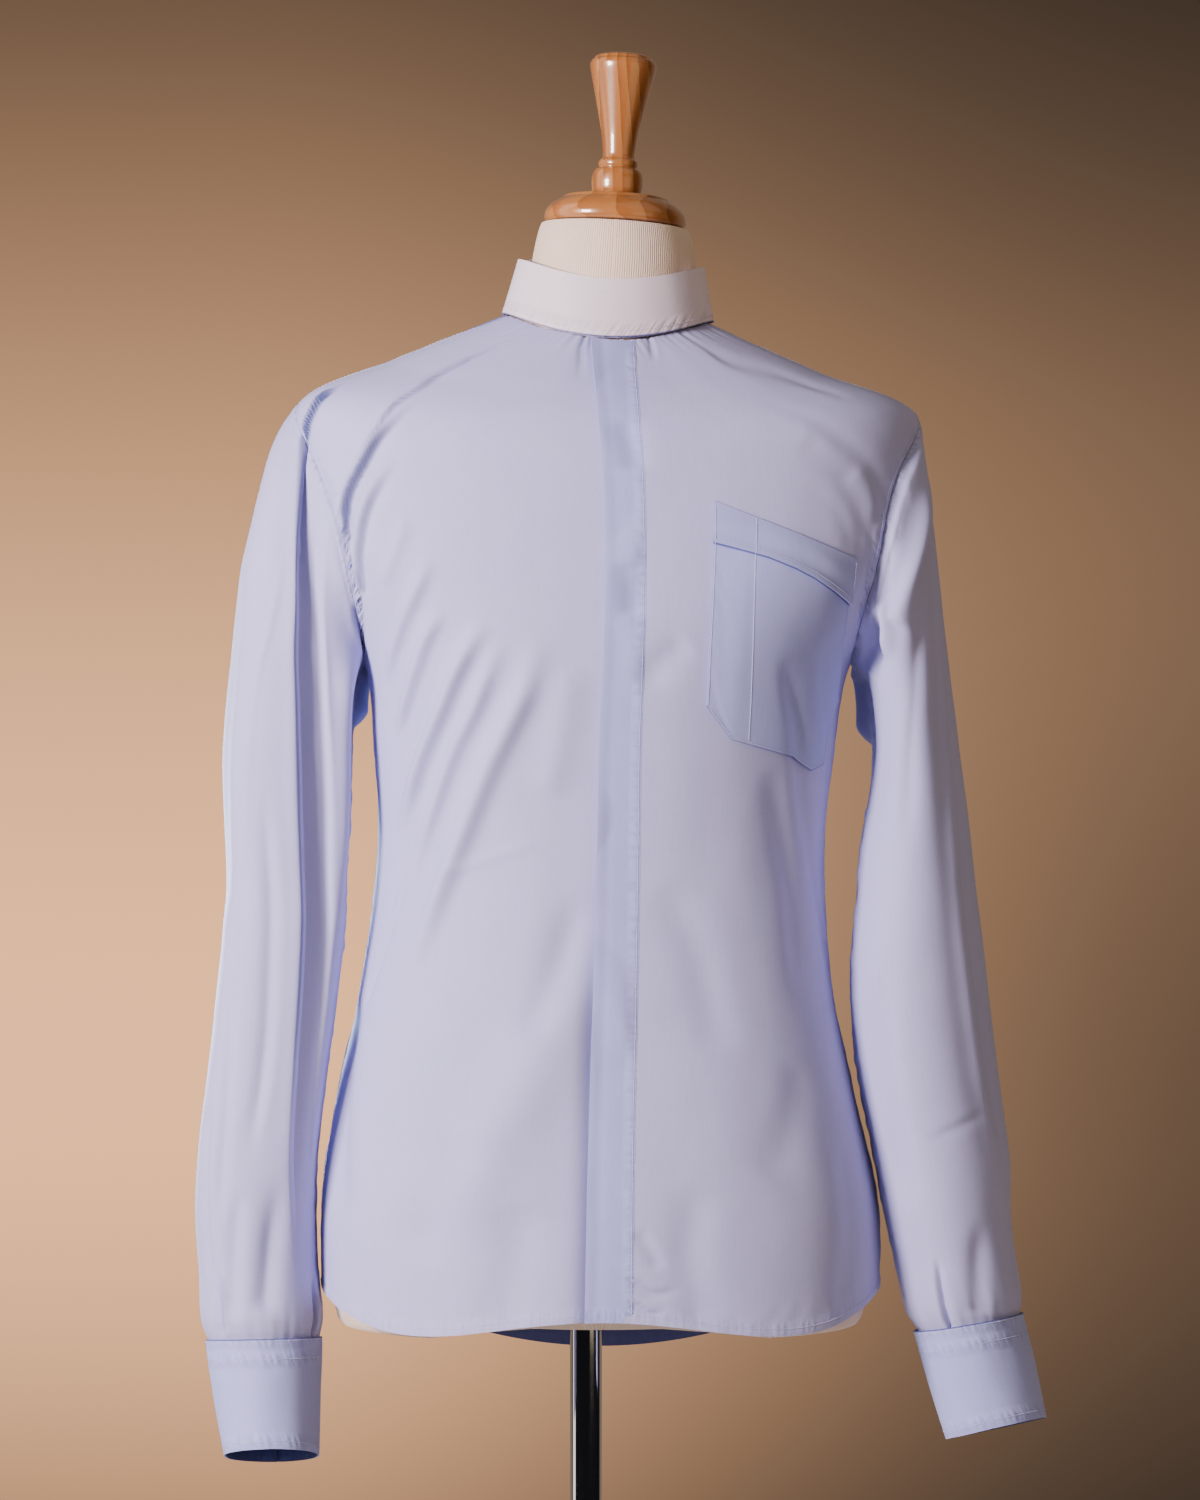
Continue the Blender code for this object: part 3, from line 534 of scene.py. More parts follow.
class Fold:
    # a soft trough (minus) or ridge along a path of degrees round and heights in mm, one after the other; width,
    # height and lean are in mm, and lean lifts its right-hand side; ends are the shares over which it fades in
    # and out; dark is the shade painted into the cloth deep in a sharp crease, and line that shade's width in mm
    def __init__(self, perDegree, path, width, height, lean=0.0, ends=(0.25, 0.25), dark=0.0, line=1.6):
        self.width, self.height, self.lean, self.line = (size / 1000 for size in (width, height, lean, line))
        self.ends, self.dark, self.whole = ends, dark, 360 * perDegree
        table = Rows("sz", {i: (s * perDegree, z / 1000) for i, (s, z) in enumerate(zip(path[::2], path[1::2]))})
        steps = 4 * table.last
        self.run = [tuple(table.at(c, table.last * i / steps) for c in "sz") for i in range(steps + 1)]
        reach = 2.6 * self.width
        self.low = tuple(min(point[k] for point in self.run) - reach for k in (0, 1))
        self.high = tuple(max(point[k] for point in self.run) + reach for k in (0, 1))

    def beside(self, s, z):
        # how far to the side of the path a place is, and how strong the fold is there
        if not self.low[1] < z < self.high[1]:
            return None
        s = (s - self.low[0]) % self.whole + self.low[0]
        if s > self.high[0]:
            return None
        nearest = (1e9, 0.0, 0.0)
        for i, ((s0, z0), (s1, z1)) in enumerate(zip(self.run, self.run[1:])):
            ds, dz = s1 - s0, z1 - z0
            long = ds * ds + dz * dz
            t = min(max(((s - s0) * ds + (z - z0) * dz) / long, 0.0), 1.0)
            es, ez = s - s0 - ds * t, z - z0 - dz * t
            apart = es * es + ez * ez
            if apart < nearest[0]:
                side = ds * ez - dz * es
                nearest = (apart, math.copysign(math.sqrt(apart), side), (i + t) / (len(self.run) - 1))
        _, offset, along = nearest
        start, end = self.ends
        fade = (ease(0, start, along) if start else 1.0) * (ease(0, end, 1 - along) if end else 1.0)
        return offset, fade


def foldsOf(piece, rows):
    return [Fold(piece["perDegree"], *row) for row in rows]


def foldsAt(folds, s, z):
    height = 0.0
    for fold in folds:
        found = fold.beside(s, z)
        if found:
            q = found[0] / fold.width
            height += found[1] * math.exp(-q * q) * (fold.height + 2.33 * fold.lean * q)
    return height


# the shade painted into the cloth's colour deep in the sharpest creases
def creaseShadeAt(folds, s, z):
    dark = 0.0
    for fold in folds:
        found = fold.beside(s, z) if fold.dark else None
        if found:
            dark = max(dark, fold.dark * found[1] * math.exp(-((found[0] / fold.line) ** 2)))
    return dark


def pucker(distance, along, depth, seed, pitch=0.0085, width=0.0045):
    # the small waves that a seam draws into the cloth beside it
    d = abs(distance) / width
    if d > 6:
        return 0.0
    return depth * d * math.exp(1 - d) * noise.noise(Vector((along / pitch, seed, d * 0.35)))


unevenness = ((0.0016, 11, 7, 0.0), (0.0004, 34, 26, 5.0))  # height, waves round, waves up, and a seed's shift


def slack(s, z, seed):
    # the slight unevenness of worn cloth
    return sum(high * noise.noise(Vector((s * u, z * v, seed + shift))) for high, u, v, shift in unevenness)


def evenLevels(pointAt, start, end, count=300):
    # levels spaced evenly along the cloth, as a function of a share
    levels = [mix(start, end, i / count) for i in range(count + 1)]
    run = runOf([pointAt(level) for level in levels])

    def levelAt(share):
        wanted = share * run[-1]
        i = bisect_right(run, wanted, 1, count) - 1
        return mix(levels[i], levels[i + 1], (wanted - run[i]) / (run[i + 1] - run[i] or 1.0))

    return levelAt


# the shirt's body

bodyRows = Rows(
    ("side", "frontZ", "backZ", "left", "right", "front", "back", "power", "tilt", "dip", "placket"),
    {
        "hem": (0.628, 0.6155, 0.566, -0.1840, 0.2050, 0.124, 0.122, 2.3, 0.000, 0.0175, 0.0160),
        "hips": (0.690, 0.682, 0.655, -0.1838, 0.2030, 0.123, 0.125, 2.3, 0.000, 0.004, 0.0168),
        "seat": (0.760, 0.756, 0.742, -0.1740, 0.1880, 0.116, 0.114, 2.3, 0.000, 0.0, 0.0182),
        "highHip": (0.840, 0.838, 0.832, -0.1570, 0.1712, 0.106, 0.097, 2.3, 0.002, 0.0, 0.0205),
        "waist": (0.925, 0.925, 0.922, -0.1455, 0.1660, 0.102, 0.084, 2.35, 0.005, 0.0, 0.0222),
        "ribs": (1.000, 1.002, 0.998, -0.1475, 0.1730, 0.111, 0.091, 2.4, 0.008, 0.0, 0.0236),
        "armpit": (1.063, 1.066, 1.062, -0.1545, 0.1845, 0.120, 0.104, 2.45, 0.010, 0.0, 0.0262),
        "chest": (1.135, 1.130, 1.135, -0.1880, 0.2230, 0.120, 0.109, 2.5, 0.012, 0.0, 0.0276),
        "blades": (1.195, 1.182, 1.192, -0.2010, 0.2310, 0.113, 0.109, 2.5, 0.015, 0.0, 0.0262),
        "shoulder": (1.2395, 1.218, 1.232, -0.1985, 0.2290, 0.105, 0.104, 2.4, 0.018, 0.0, 0.0235),
        "slope": (1.2650, 1.242, 1.262, -0.1400, 0.1700, 0.092, 0.092, 2.2, 0.030, 0.0, 0.0215),
        "neckBase": (1.2830, 1.262, 1.286, -0.0970, 0.1270, 0.076, 0.077, 2.1, 0.038, 0.0, 0.0198),
        "neckline": (1.3005, 1.2815, 1.312, -0.0560, 0.0864, 0.0600, 0.0600, 2.0, 0.040, 0.0, 0.0190),
    },
)
armpit, shoulder, neckline = (bodyRows.level(n) for n in ("armpit", "shoulder", "neckline"))
body = {
    "armholeFront": 31.0,
    "armholeBack": 27.0,
    "yokeWrap": 6.0,
    "yokeSeam": 8.382,
    "lap": 0.010,
    "placketHalf": {"neck": 0.0155, "chest": 0.0135, "hem": 0.0165},
    "perDegree": 0.0027,
}
# where a row gives two more numbers after its ends, they paint shade into that sharp crease and give its width
bodyFolds = foldsOf(body, (
    # the wearer's right front: creases from the collar to the armhole, then diagonals from chest to waist
    ((-39.9, 1285, -45.7, 1273, -47.3, 1257, -44.4, 1245, -44.7, 1223, -49.2, 1206, -53.2, 1191),
     3.4, 0.6, -1.6, (0.3, 0.3), 0.42, 1.1),
    ((-39.4, 1238, -42.4, 1222, -46.9, 1207, -51.1, 1191, -55.1, 1176, -57.6, 1163, -59.7, 1149),
     3.8, 1.6, -3.4, (0.35, 0), 0.8, 2.4),
    ((-40.4, 1198, -45.5, 1183, -50.6, 1164, -55.2, 1142, -58.4, 1126, -61.5, 1109),
     4.8, 0.8, -2.6, (0.4, 0.02), 0.3, 2.2),
    ((-59, 1128, -60.5, 1117, -61.7, 1108), 3, -0.8, 0, (0.5, 0), 0.55, 1.3),
    ((-66.3, 1250, -67.6, 1240.9, -67.8, 1231.8, -69.6, 1221.6, -71, 1212), 3.4, 0.8, -3, (0.2, 0), 1.2, 1.9),
    ((-61.1, 1156, -61, 1143.5, -61.5, 1129.8), 4, -1.4, 0, (0.3, 0.3), 0.34, 3.6),
    ((-12.8, 1287, -11.2, 1276, -8.4, 1262, -7.6, 1248), 3.4, -0.8, 1, (0, 0.6), 0.42, 2),
    ((25, 1287, 21.6, 1276, 16, 1264), 3, -0.8, 0.6, (0, 0.5), 0.24, 1.6),
    ((-39.7, 1158, -46.6, 1130, -53, 1112), 4.8, 1.9),
    ((-35.8, 1131, -42.7, 1108, -51.7, 1085, -59.5, 1065, -65.6, 1047), 4.8, 4, -0.5),
    ((-36.6, 1095, -44.4, 1076, -51.7, 1051, -56.7, 1030, -61.7, 1008), 5.4, 5, -1),
    ((-26.4, 1089, -33.6, 1066, -39, 1045, -43.6, 1023, -50.3, 995, -56.2, 969, -63.3, 940), 6.4, 6.4, -1.2),
    ((-23.6, 1077, -29.4, 1049, -33.9, 1024, -39, 1002, -43.7, 978, -50, 945, -57.1, 907), 6.2, 4.8),
    ((-13.8, 1081, -18.5, 1044, -23.1, 1017, -28.9, 987, -34.1, 957, -41.7, 912, -46.2, 881, -52.4, 836), 9, 6.4, -1),
    ((-8.6, 1061, -10.8, 1007, -14.4, 966), 11, 2),
    ((-4.3, 905, -8.4, 862, -12, 829, -16.1, 801), 12, -3.2),
    ((-4.5, 858, -12.4, 791, -25, 724, -38.8, 669), 24, 6),
    ((-14.2, 938, -34.6, 922, -55.6, 906), 3.6, 0.7),
    ((-57.1, 926, -66.8, 858, -73, 822), 5.2, -2.6),
    ((-80, 830, -73, 744, -64, 671), 15, -5),
    ((-27.7, 744, -34.1, 696, -41.4, 655), 18, -3.6),
    ((-16.1, 698, -17.1, 657, -19.3, 624), 14, -2.8, 0, (0.3, 0)),
    # the wearer's left front: soft steps over the shoulder, folds that run through the pocket's corner
    ((40, 1268, 45.7, 1262, 53.8, 1253, 56.7, 1238), 11, -1, -0.6),
    ((32, 1231, 38.4, 1222, 45.1, 1208, 52.5, 1194, 57.1, 1180, 59.2, 1163, 59.4, 1148), 8.6, 0, -1, (0.35, 0.2)),
    ((36.5, 1212, 45.4, 1200, 51.8, 1185), 8.5, -1),
    ((40, 1196, 46.6, 1178, 51.7, 1158, 54.3, 1138), 7.2, 0, -0.3, (0.4, 0.3)),
    ((43, 1168, 47.6, 1151, 50.7, 1135), 6.2, 0, -0.2, (0.4, 0.3)),
    ((47.1, 1068, 53.1, 1006, 64, 939, 75, 881, 80, 825), 10.5, -1.5, -0.8),
    ((43.4, 1064, 48.6, 1034, 54.1, 1010, 57.2, 993), 7, -1, -0.6),
    ((43.2, 989, 50.8, 939, 56, 884, 56.1, 815), 12, -1.8, -0.5),
    ((58.1, 1075, 66, 1034, 78, 979), 9.5, -2),
    ((15.1, 912, 25.7, 858, 29, 790), 14, -1.8),
    ((36.3, 706, 46.1, 749, 53.1, 789), 15, -1.8),
    ((64.5, 739, 62.3, 685, 59, 631), 13, -2.6, 0, (0.3, 0)),
    ((21.2, 711, 18.1, 664, 20, 624), 12, -2.2, 0, (0.3, 0)),
    ((18.5, 1074, 12.2, 1058, 9.1, 1040), 10, -2),
    ((7.8, 678, 10.6, 665, 12.6, 650), 4.5, -1.2, 0.6),
    ((7.2, 643, 11, 636, 16, 640), 3.4, -1.1, 0.7, (0, 0.5), 0.22, 1.6),
    ((7, 629, 10, 623, 13, 624), 2.6, -0.9, 0.7, (0, 0.5), 0.32, 1.2),
    ((3, 1225, 5, 1186), 6.5, -2),
    ((3, 1128, 5, 1087), 6.5, -1.8),
    # the sides and the back
    ((94, 990, 97, 900, 93, 800), 12, -4.2, 1.5),
    ((267, 985, 263, 890, 268, 790), 12, -4.2, -1.5),
    ((104, 790, 108, 720, 106, 640), 16, -4.5, 0, (0.3, 0)),
    ((256, 800, 252, 730, 254, 640), 16, -4.5, 0, (0.3, 0)),
    ((139, 1185, 146, 1110, 149, 1020), 20, -8.3, 2.3),
    ((222, 1190, 216, 1110, 213, 1030), 19, -7.5, -2.3),
    ((176, 1010, 180, 920, 182, 820), 25, -9, 3),
    ((212, 870, 214, 770, 216, 680), 22, -8.3, 2.3),
    ((147, 860, 145, 760, 143, 660), 21, -7.5, -2.3),
    ((118, 1140, 126, 1100, 138, 1065), 7.5, -3.6, 1.5),
    ((116, 1090, 128, 1055, 143, 1035), 8, -3.3, 1.5),
    ((242, 1142, 233, 1100, 221, 1070), 7.5, -3.6, -1.5),
    ((244, 1090, 231, 1052, 217, 1030), 8, -3.3, -1.5),
    ((108, 1010, 122, 955, 140, 915), 10, -4.5, 1.8),
    ((252, 1015, 239, 960, 222, 915), 10, -4.5, -1.8),
    ((112, 950, 128, 900, 150, 865), 9.5, -3.3, 1.2),
    ((247, 950, 231, 895, 208, 870), 9.5, -3.3, -1.2),
    ((164, 960, 171, 880, 168, 790), 14, -4.2),
    ((198, 970, 192, 890, 196, 800), 14, -4.2),
))
# the trough that the front makes as it runs under the placket's folded edge, with shade painted along it
underPlacket = foldsOf(body, (
    ((-0.5, 940, -0.7, 858, -1, 791, -1.5, 724, -2.3, 658, -2.9, 605), 8, -4, -1, (0.45, 0), 0.34, 3.4),
))


@lru_cache(maxsize=8192)
def bodySizes(v):
    return tuple(bodyRows.at(c, v) for c in bodyRows.columns)


def bodyPoint(turn, v):
    # turn 0 is centre front, 90 degrees the wearer's left side
    side, frontZ, backZ, left, right, front, back, power, tilt, dip, _ = bodySizes(v)
    turn = math.radians(turn)
    across, facing = math.sin(turn), math.cos(turn)
    middle, half = (left + right) / 2, (right - left) / 2
    bulge = max(0.0, 1 - abs(across) ** power) ** (1 / power)
    x = middle + half * across
    z = mix(side, frontZ if facing > 0 else backZ, facing**2) - tilt * (x - middle)
    if facing > 0:
        return Vector((x, -front * bulge, z - dip * math.sin(2 * turn) ** 2))
    return Vector((x, back * bulge, z))


def turnAt(x, v):
    left, right = bodySizes(v)[3:5]
    return math.degrees(math.asin(min(max((2 * x - left - right) / (right - left), -1.0), 1.0)))


def frontLevel(x, z):
    low, high = 0.0, neckline
    for _ in range(22):
        v = (low + high) / 2
        if bodyPoint(turnAt(x, v), v).z < z:
            low = v
        else:
            high = v
    return v


def scoop(v, reach):
    share = (v - armpit) / (shoulder - armpit)
    if not 0 < share < 1:
        return 0.0
    return reach * (1.1 - 0.45 * share) * math.sin(math.pi * share) ** 0.6


def yokeWrap(v):
    return body["yokeWrap"] * ease(shoulder, shoulder + 0.8, v)


def frontEdge(v):
    return 90 - scoop(v, body["armholeFront"]) - yokeWrap(v)


def backEdge(v):
    return 90 + scoop(v, body["armholeBack"])


def placketHalf(v):
    half, chest = body["placketHalf"], bodyRows.level("chest")
    if v > chest:
        return mix(half["chest"], half["neck"], (v - chest) / (neckline - chest))
    return mix(half["hem"], half["chest"], v / chest)


def besideArmhole(v):
    return ease(armpit - 0.15, armpit + 0.1, v) * (1 - ease(shoulder - 0.1, shoulder + 0.25, v))


def underarm(v, start, end):
    # full beside the low part of an armhole, and gone above it
    return besideArmhole(v) * (1 - ease(armpit + start, armpit + end, v))


def bodyFoldHeight(spot):
    s = spot.around * body["perDegree"]
    return foldsAt(bodyFolds, s, spot.point.z) + slack(s, spot.point.z, 1.0)


# the shade painted into the body's sharp creases
def bodyCreaseShade(spot):
    return creaseShadeAt(bodyFolds, spot.around * body["perDegree"], spot.point.z)


hem = {"stitch": 0.0048, "turned": (0.0042, 0.0062), "high": 0.00045, "rope": 0.0003, "twist": 0.006, "pucker": 0.0004}
panel = {
    "seams": {"hold": 0.014, "away": 0.0007, "underarm": 0.0030},
    "gather": {"high": 0.0010, "reach": 0.030, "pitch": 3.2},
    "ruck": {"seam": 0.12, "underarm": 0.88, "left": 0.3, "away": 0.09, "reach": 0.02},
}


def hemRelief(spot):
    # the narrow turned-up hem, with the slight roping of its stitches
    twist = spot.left / hem["twist"] + spot.bottom / hem["twist"]
    rope = hem["rope"] * noise.noise(Vector((twist, 4.0, 0.0))) * (1 - ease(0.004, 0.014, spot.bottom))
    turned = hem["high"] * (1 - ease(*hem["turned"], spot.bottom))
    return turned + rope + pucker(spot.bottom - 0.005, spot.left, hem["pucker"], 2.0)


def panelRelief(edges, seed):
    # folds that fade out at an armhole, puckers along the sewn edges, and a slight gather under the neck
    seams, gather = panel["seams"], panel["gather"]

    def relief(spot):
        near = min(getattr(spot, edge) for edge in edges)
        hold = mix(1.0, ease(0.0, seams["hold"], near), besideArmhole(spot.level))
        deep = mix(seams["away"], seams["underarm"], underarm(spot.level, 1.0, 1.8))
        height = bodyFoldHeight(spot) * hold + pucker(near, spot.point.z + spot.point.y, deep, seed)
        wave = noise.noise(Vector((spot.around / gather["pitch"], seed, 1.0)))
        gathered = gather["high"] * (1 - ease(0.0, gather["reach"], spot.top)) * wave
        return height + gathered * ease(shoulder, neckline, spot.level)
    return relief


def bodyRuck(spot):
    # how strongly the nearest seam draws the cloth up, which also sets the shade painted into its puckers: most at the
    # underarms
    ruck = panel["ruck"]
    if min(spot.left, spot.right) >= ruck["reach"]:
        return ruck["away"]
    share = underarm(spot.level, 0.9, 1.7) * (ruck["left"] if 0 < spot.around < 90 else 1.0)
    return ruck["seam"] + ruck["underarm"] * share


def setInShade(spot):
    # a line of painted shade along the edges where a sleeve is set in
    return min(spot.left, spot.right) + farOff * (1 - besideArmhole(spot.level))


def sewnAlong(inset, *edges):
    return tuple((edge, inset) for edge in edges)


def torsoPanel(name, start, end, low, high, size, relief, stitched, rims, cell=None, hollow=bodyCreaseShade, innerShade=0.0):
    levelAt = evenLevels(lambda v: bodyPoint(abs(start(v) + end(v)) / 2, v), low, high)

    def place(a, b):
        v = levelAt(b)
        turn = mix(start(v), end(v), a)
        return bodyPoint(turn, v), turn, v

    return Sheet(name, place, size, "shirt", relief, cell=cell, stitched=stitched, rims=rims, ruck=bodyRuck,
                 hollow=hollow, innerShade=innerShade)


def lapTurn(v):
    return turnAt(bodySizes(v)[10] + body["lap"], v)


rightRelief, leftRelief = panelRelief(("left",), 11.0), panelRelief(("right",), 12.0)
backRelief, yokeRelief = panelRelief(("left", "right"), 13.0), panelRelief(("left", "right"), 14.0)


def rightHeight(spot):
    under = foldsAt(underPlacket, spot.around * body["perDegree"], spot.point.z)
    return rightRelief(spot) + hemRelief(spot) + under


# shade painted into the creases, and into the trough under the placket's edge
def rightCreaseShade(spot):
    return max(bodyCreaseShade(spot), creaseShadeAt(underPlacket, spot.around * body["perDegree"], spot.point.z))


frontRight = torsoPanel(
    "front_right", lambda v: -frontEdge(v), lapTurn, 0.0, neckline, (0.265, 0.690), rightHeight,
    sewnAlong(hem["stitch"], "bottom", "left"), (), 0.00205, rightCreaseShade,
)
# front_left has a line of painted shade along its armhole edge
frontLeft = torsoPanel(
    "front_left", lapTurn, frontEdge, 0.0, neckline, (0.215, 0.690), lambda s: leftRelief(s) + hemRelief(s),
    sewnAlong(hem["stitch"], "bottom", "right"), setInShade, 0.0024,
)
# the back has a line of painted shade along its armhole edges, and its whole inner face is painted dark
back = torsoPanel(
    "back", backEdge, lambda v: 360 - backEdge(v), 0.0, body["yokeSeam"], (0.500, 0.650),
    lambda s: backRelief(s) + hemRelief(s) + pucker(s.top, s.left, 0.0006, 6.0),
    sewnAlong(hem["stitch"], "bottom", "left", "right"), setInShade, innerShade=0.95,
)
# the yoke has a line of painted shade along its front edge on the wearer's right
yoke = torsoPanel(
    "yoke", lambda v: backEdge(v) - yokeWrap(v), lambda v: 360 - backEdge(v) + yokeWrap(v),
    body["yokeSeam"], neckline, (0.430, 0.130),
    lambda s: yokeRelief(s) + 0.0005 * (1 - ease(0.0, 0.004, s.bottom)),
    sewnAlong(0.0018, "bottom", "left", "right"), ("right",),
)
print("body panels laid")


# the placket and the pocket

fly = {
    "size": (0.031, 0.690), "lift": 0.0013, "stitch": 0.0016, "ruck": 0.15, "pucker": 0.0002, "puckerPitch": 0.011,
    "foldRoll": 0.0010, "foldReach": 0.009, "sewnDrop": 0.0012, "sewnReach": 0.019, "buckle": 0.0034,
}
placketLevel = evenLevels(lambda v: bodyPoint(0.0, v), 0.0, neckline)


def placketPlace(a, b):
    v = placketLevel(min(b, 0.998))
    half = placketHalf(v)
    turn = turnAt(bodySizes(v)[10] + mix(-half, half, a), v)
    return bodyPoint(turn, v), turn, v


def placketRelief(spot):
    # held by its stitches on one side, free along its folded edge on the other
    roll = fly["foldRoll"] * (1 - ease(0.0, fly["foldReach"], spot.left))
    roll -= fly["sewnDrop"] * (1 - min(spot.right / fly["sewnReach"], 1.0))
    wave = max(noise.noise(Vector((spot.left * 24, spot.bottom * 19, 8.0))), 0.0)
    buckle = fly["buckle"] * wave * ease(0.0, 0.010, spot.right)
    stitches = pucker(spot.right - fly["stitch"], spot.bottom, fly["pucker"], 9.0, fly["puckerPitch"])
    return bodyFoldHeight(spot) + roll + buckle + stitches


placket = Sheet(
    "placket", placketPlace, fly["size"], "double", placketRelief, lift=fly["lift"], cell=fabric["fineCell"],
    stitched=(("right", fly["stitch"]), ("bottom", hem["stitch"])), ruck=lambda spot: fly["ruck"],
)

pocketColumns = Rows(
    ("topX", "topZ", "bandX", "bandZ", "bottomX", "bottomZ"),
    {
        "left": (0.0862, 1.1680, 0.0860, 1.1395, 0.0811, 1.0300),
        "leftCorner": (0.1050, 1.1605, 0.1040, 1.1350, 0.0985, 1.0070),
        "middle": (0.1245, 1.1530, 0.1230, 1.1300, 0.1200, 1.0010),
        "rightMiddle": (0.1440, 1.1455, 0.1415, 1.1230, 0.1411, 0.9953),
        "point": (0.1570, 1.1405, 0.1540, 1.1170, 0.1538, 0.9860),
        "rightCorner": (0.1710, 1.1350, 0.1675, 1.1085, 0.1620, 0.9900),
        "right": (0.1850, 1.1295, 0.1790, 1.1000, 0.1722, 1.0340),
    },
)
pocket = {
    "penSlot": 0.255, "slotDeep": 0.00018, "slotWide": 0.0014, "full": 0.0010, "pucker": 0.0004,
    "size": (0.092, 0.138), "lift": 0.0015, "stitch": 0.0018, "seam": 0.0015, "columns": 42, "under": 0.06,
    "bandSize": (0.100, 0.028), "bandLift": 0.0031, "bandLip": 0.0014, "bandDrop": 0.0019,
    "bandSeams": (("left", 0.0012, 0.04), ("right", 0.0012, 0.04), ("bottom", 0.0036, 0.02)),
}


def pocketCorner(row, a):
    # straight between the corners, which are cut sharp
    place = a * pocketColumns.last
    i = min(int(place), pocketColumns.last - 1)
    return tuple(mix(*pocketColumns.columns[row + c][i : i + 2], place - i) for c in "XZ")


def pocketPlace(low, high, first, last):
    def place(a, b):
        start, end = pocketCorner(low, a), pocketCorner(high, a)
        x, z = (mix(s, e, mix(first, last, b)) for s, e in zip(start, end))
        v = frontLevel(x, z)
        turn = turnAt(x, v)
        return bodyPoint(turn, v), turn, v
    return place


def pocketRelief(spot):
    near = min(spot.left, spot.right, spot.bottom)
    slot = abs(spot.left - pocket["penSlot"] * (spot.left + spot.right))
    line = pocket["slotDeep"] * math.exp(-((slot / pocket["slotWide"]) ** 2))
    full = pocket["full"] * ease(0.004, 0.030, near) - line
    return bodyFoldHeight(spot) + full + pucker(near - 0.0015, spot.bottom + spot.left, pocket["pucker"], 21.0)


def bandRelief(spot):
    # its lower edge stands off the bag, its upper edge lies on the front
    lip, drop = 1 - ease(0.0, 0.008, spot.bottom), ease(0.014, 0.028, spot.bottom)
    return bodyFoldHeight(spot) + pocket["bandLip"] * lip - pocket["bandDrop"] * drop


def bandShadeLines(spot):
    # painted shade on the bag: a line where the band's lower edge stands over it, and one along the bag's own lower
    # edge
    covered = (spot.top + spot.bottom) * pocket["under"] / (1 + pocket["under"])
    return min(spot.bottom + 0.0003, max(spot.top - covered - 0.0006, 0.0))


def unrucked(spot):
    return 0.0


bag = Sheet(
    "pocket", pocketPlace("bottom", "band", 0.0, 1 + pocket["under"]), pocket["size"], "double", pocketRelief,
    lift=pocket["lift"], cell=fabric["fineCell"], columns=pocket["columns"],
    stitched=sewnAlong(pocket["stitch"], "left", "right", "bottom"), rims=bandShadeLines, ruck=unrucked,
)
band = Sheet(
    "pocket_band", pocketPlace("band", "top", 0.0, 1.0), pocket["bandSize"], "double", bandRelief,
    lift=pocket["bandLift"], cell=fabric["fineCell"], columns=pocket["columns"],
    stitched=(("bottom", 0.0036), ("left", 0.0012), ("right", 0.0012), ("top", 0.0010)), ruck=unrucked,
)
print("placket and pocket laid")


# the sleeves and cuffs

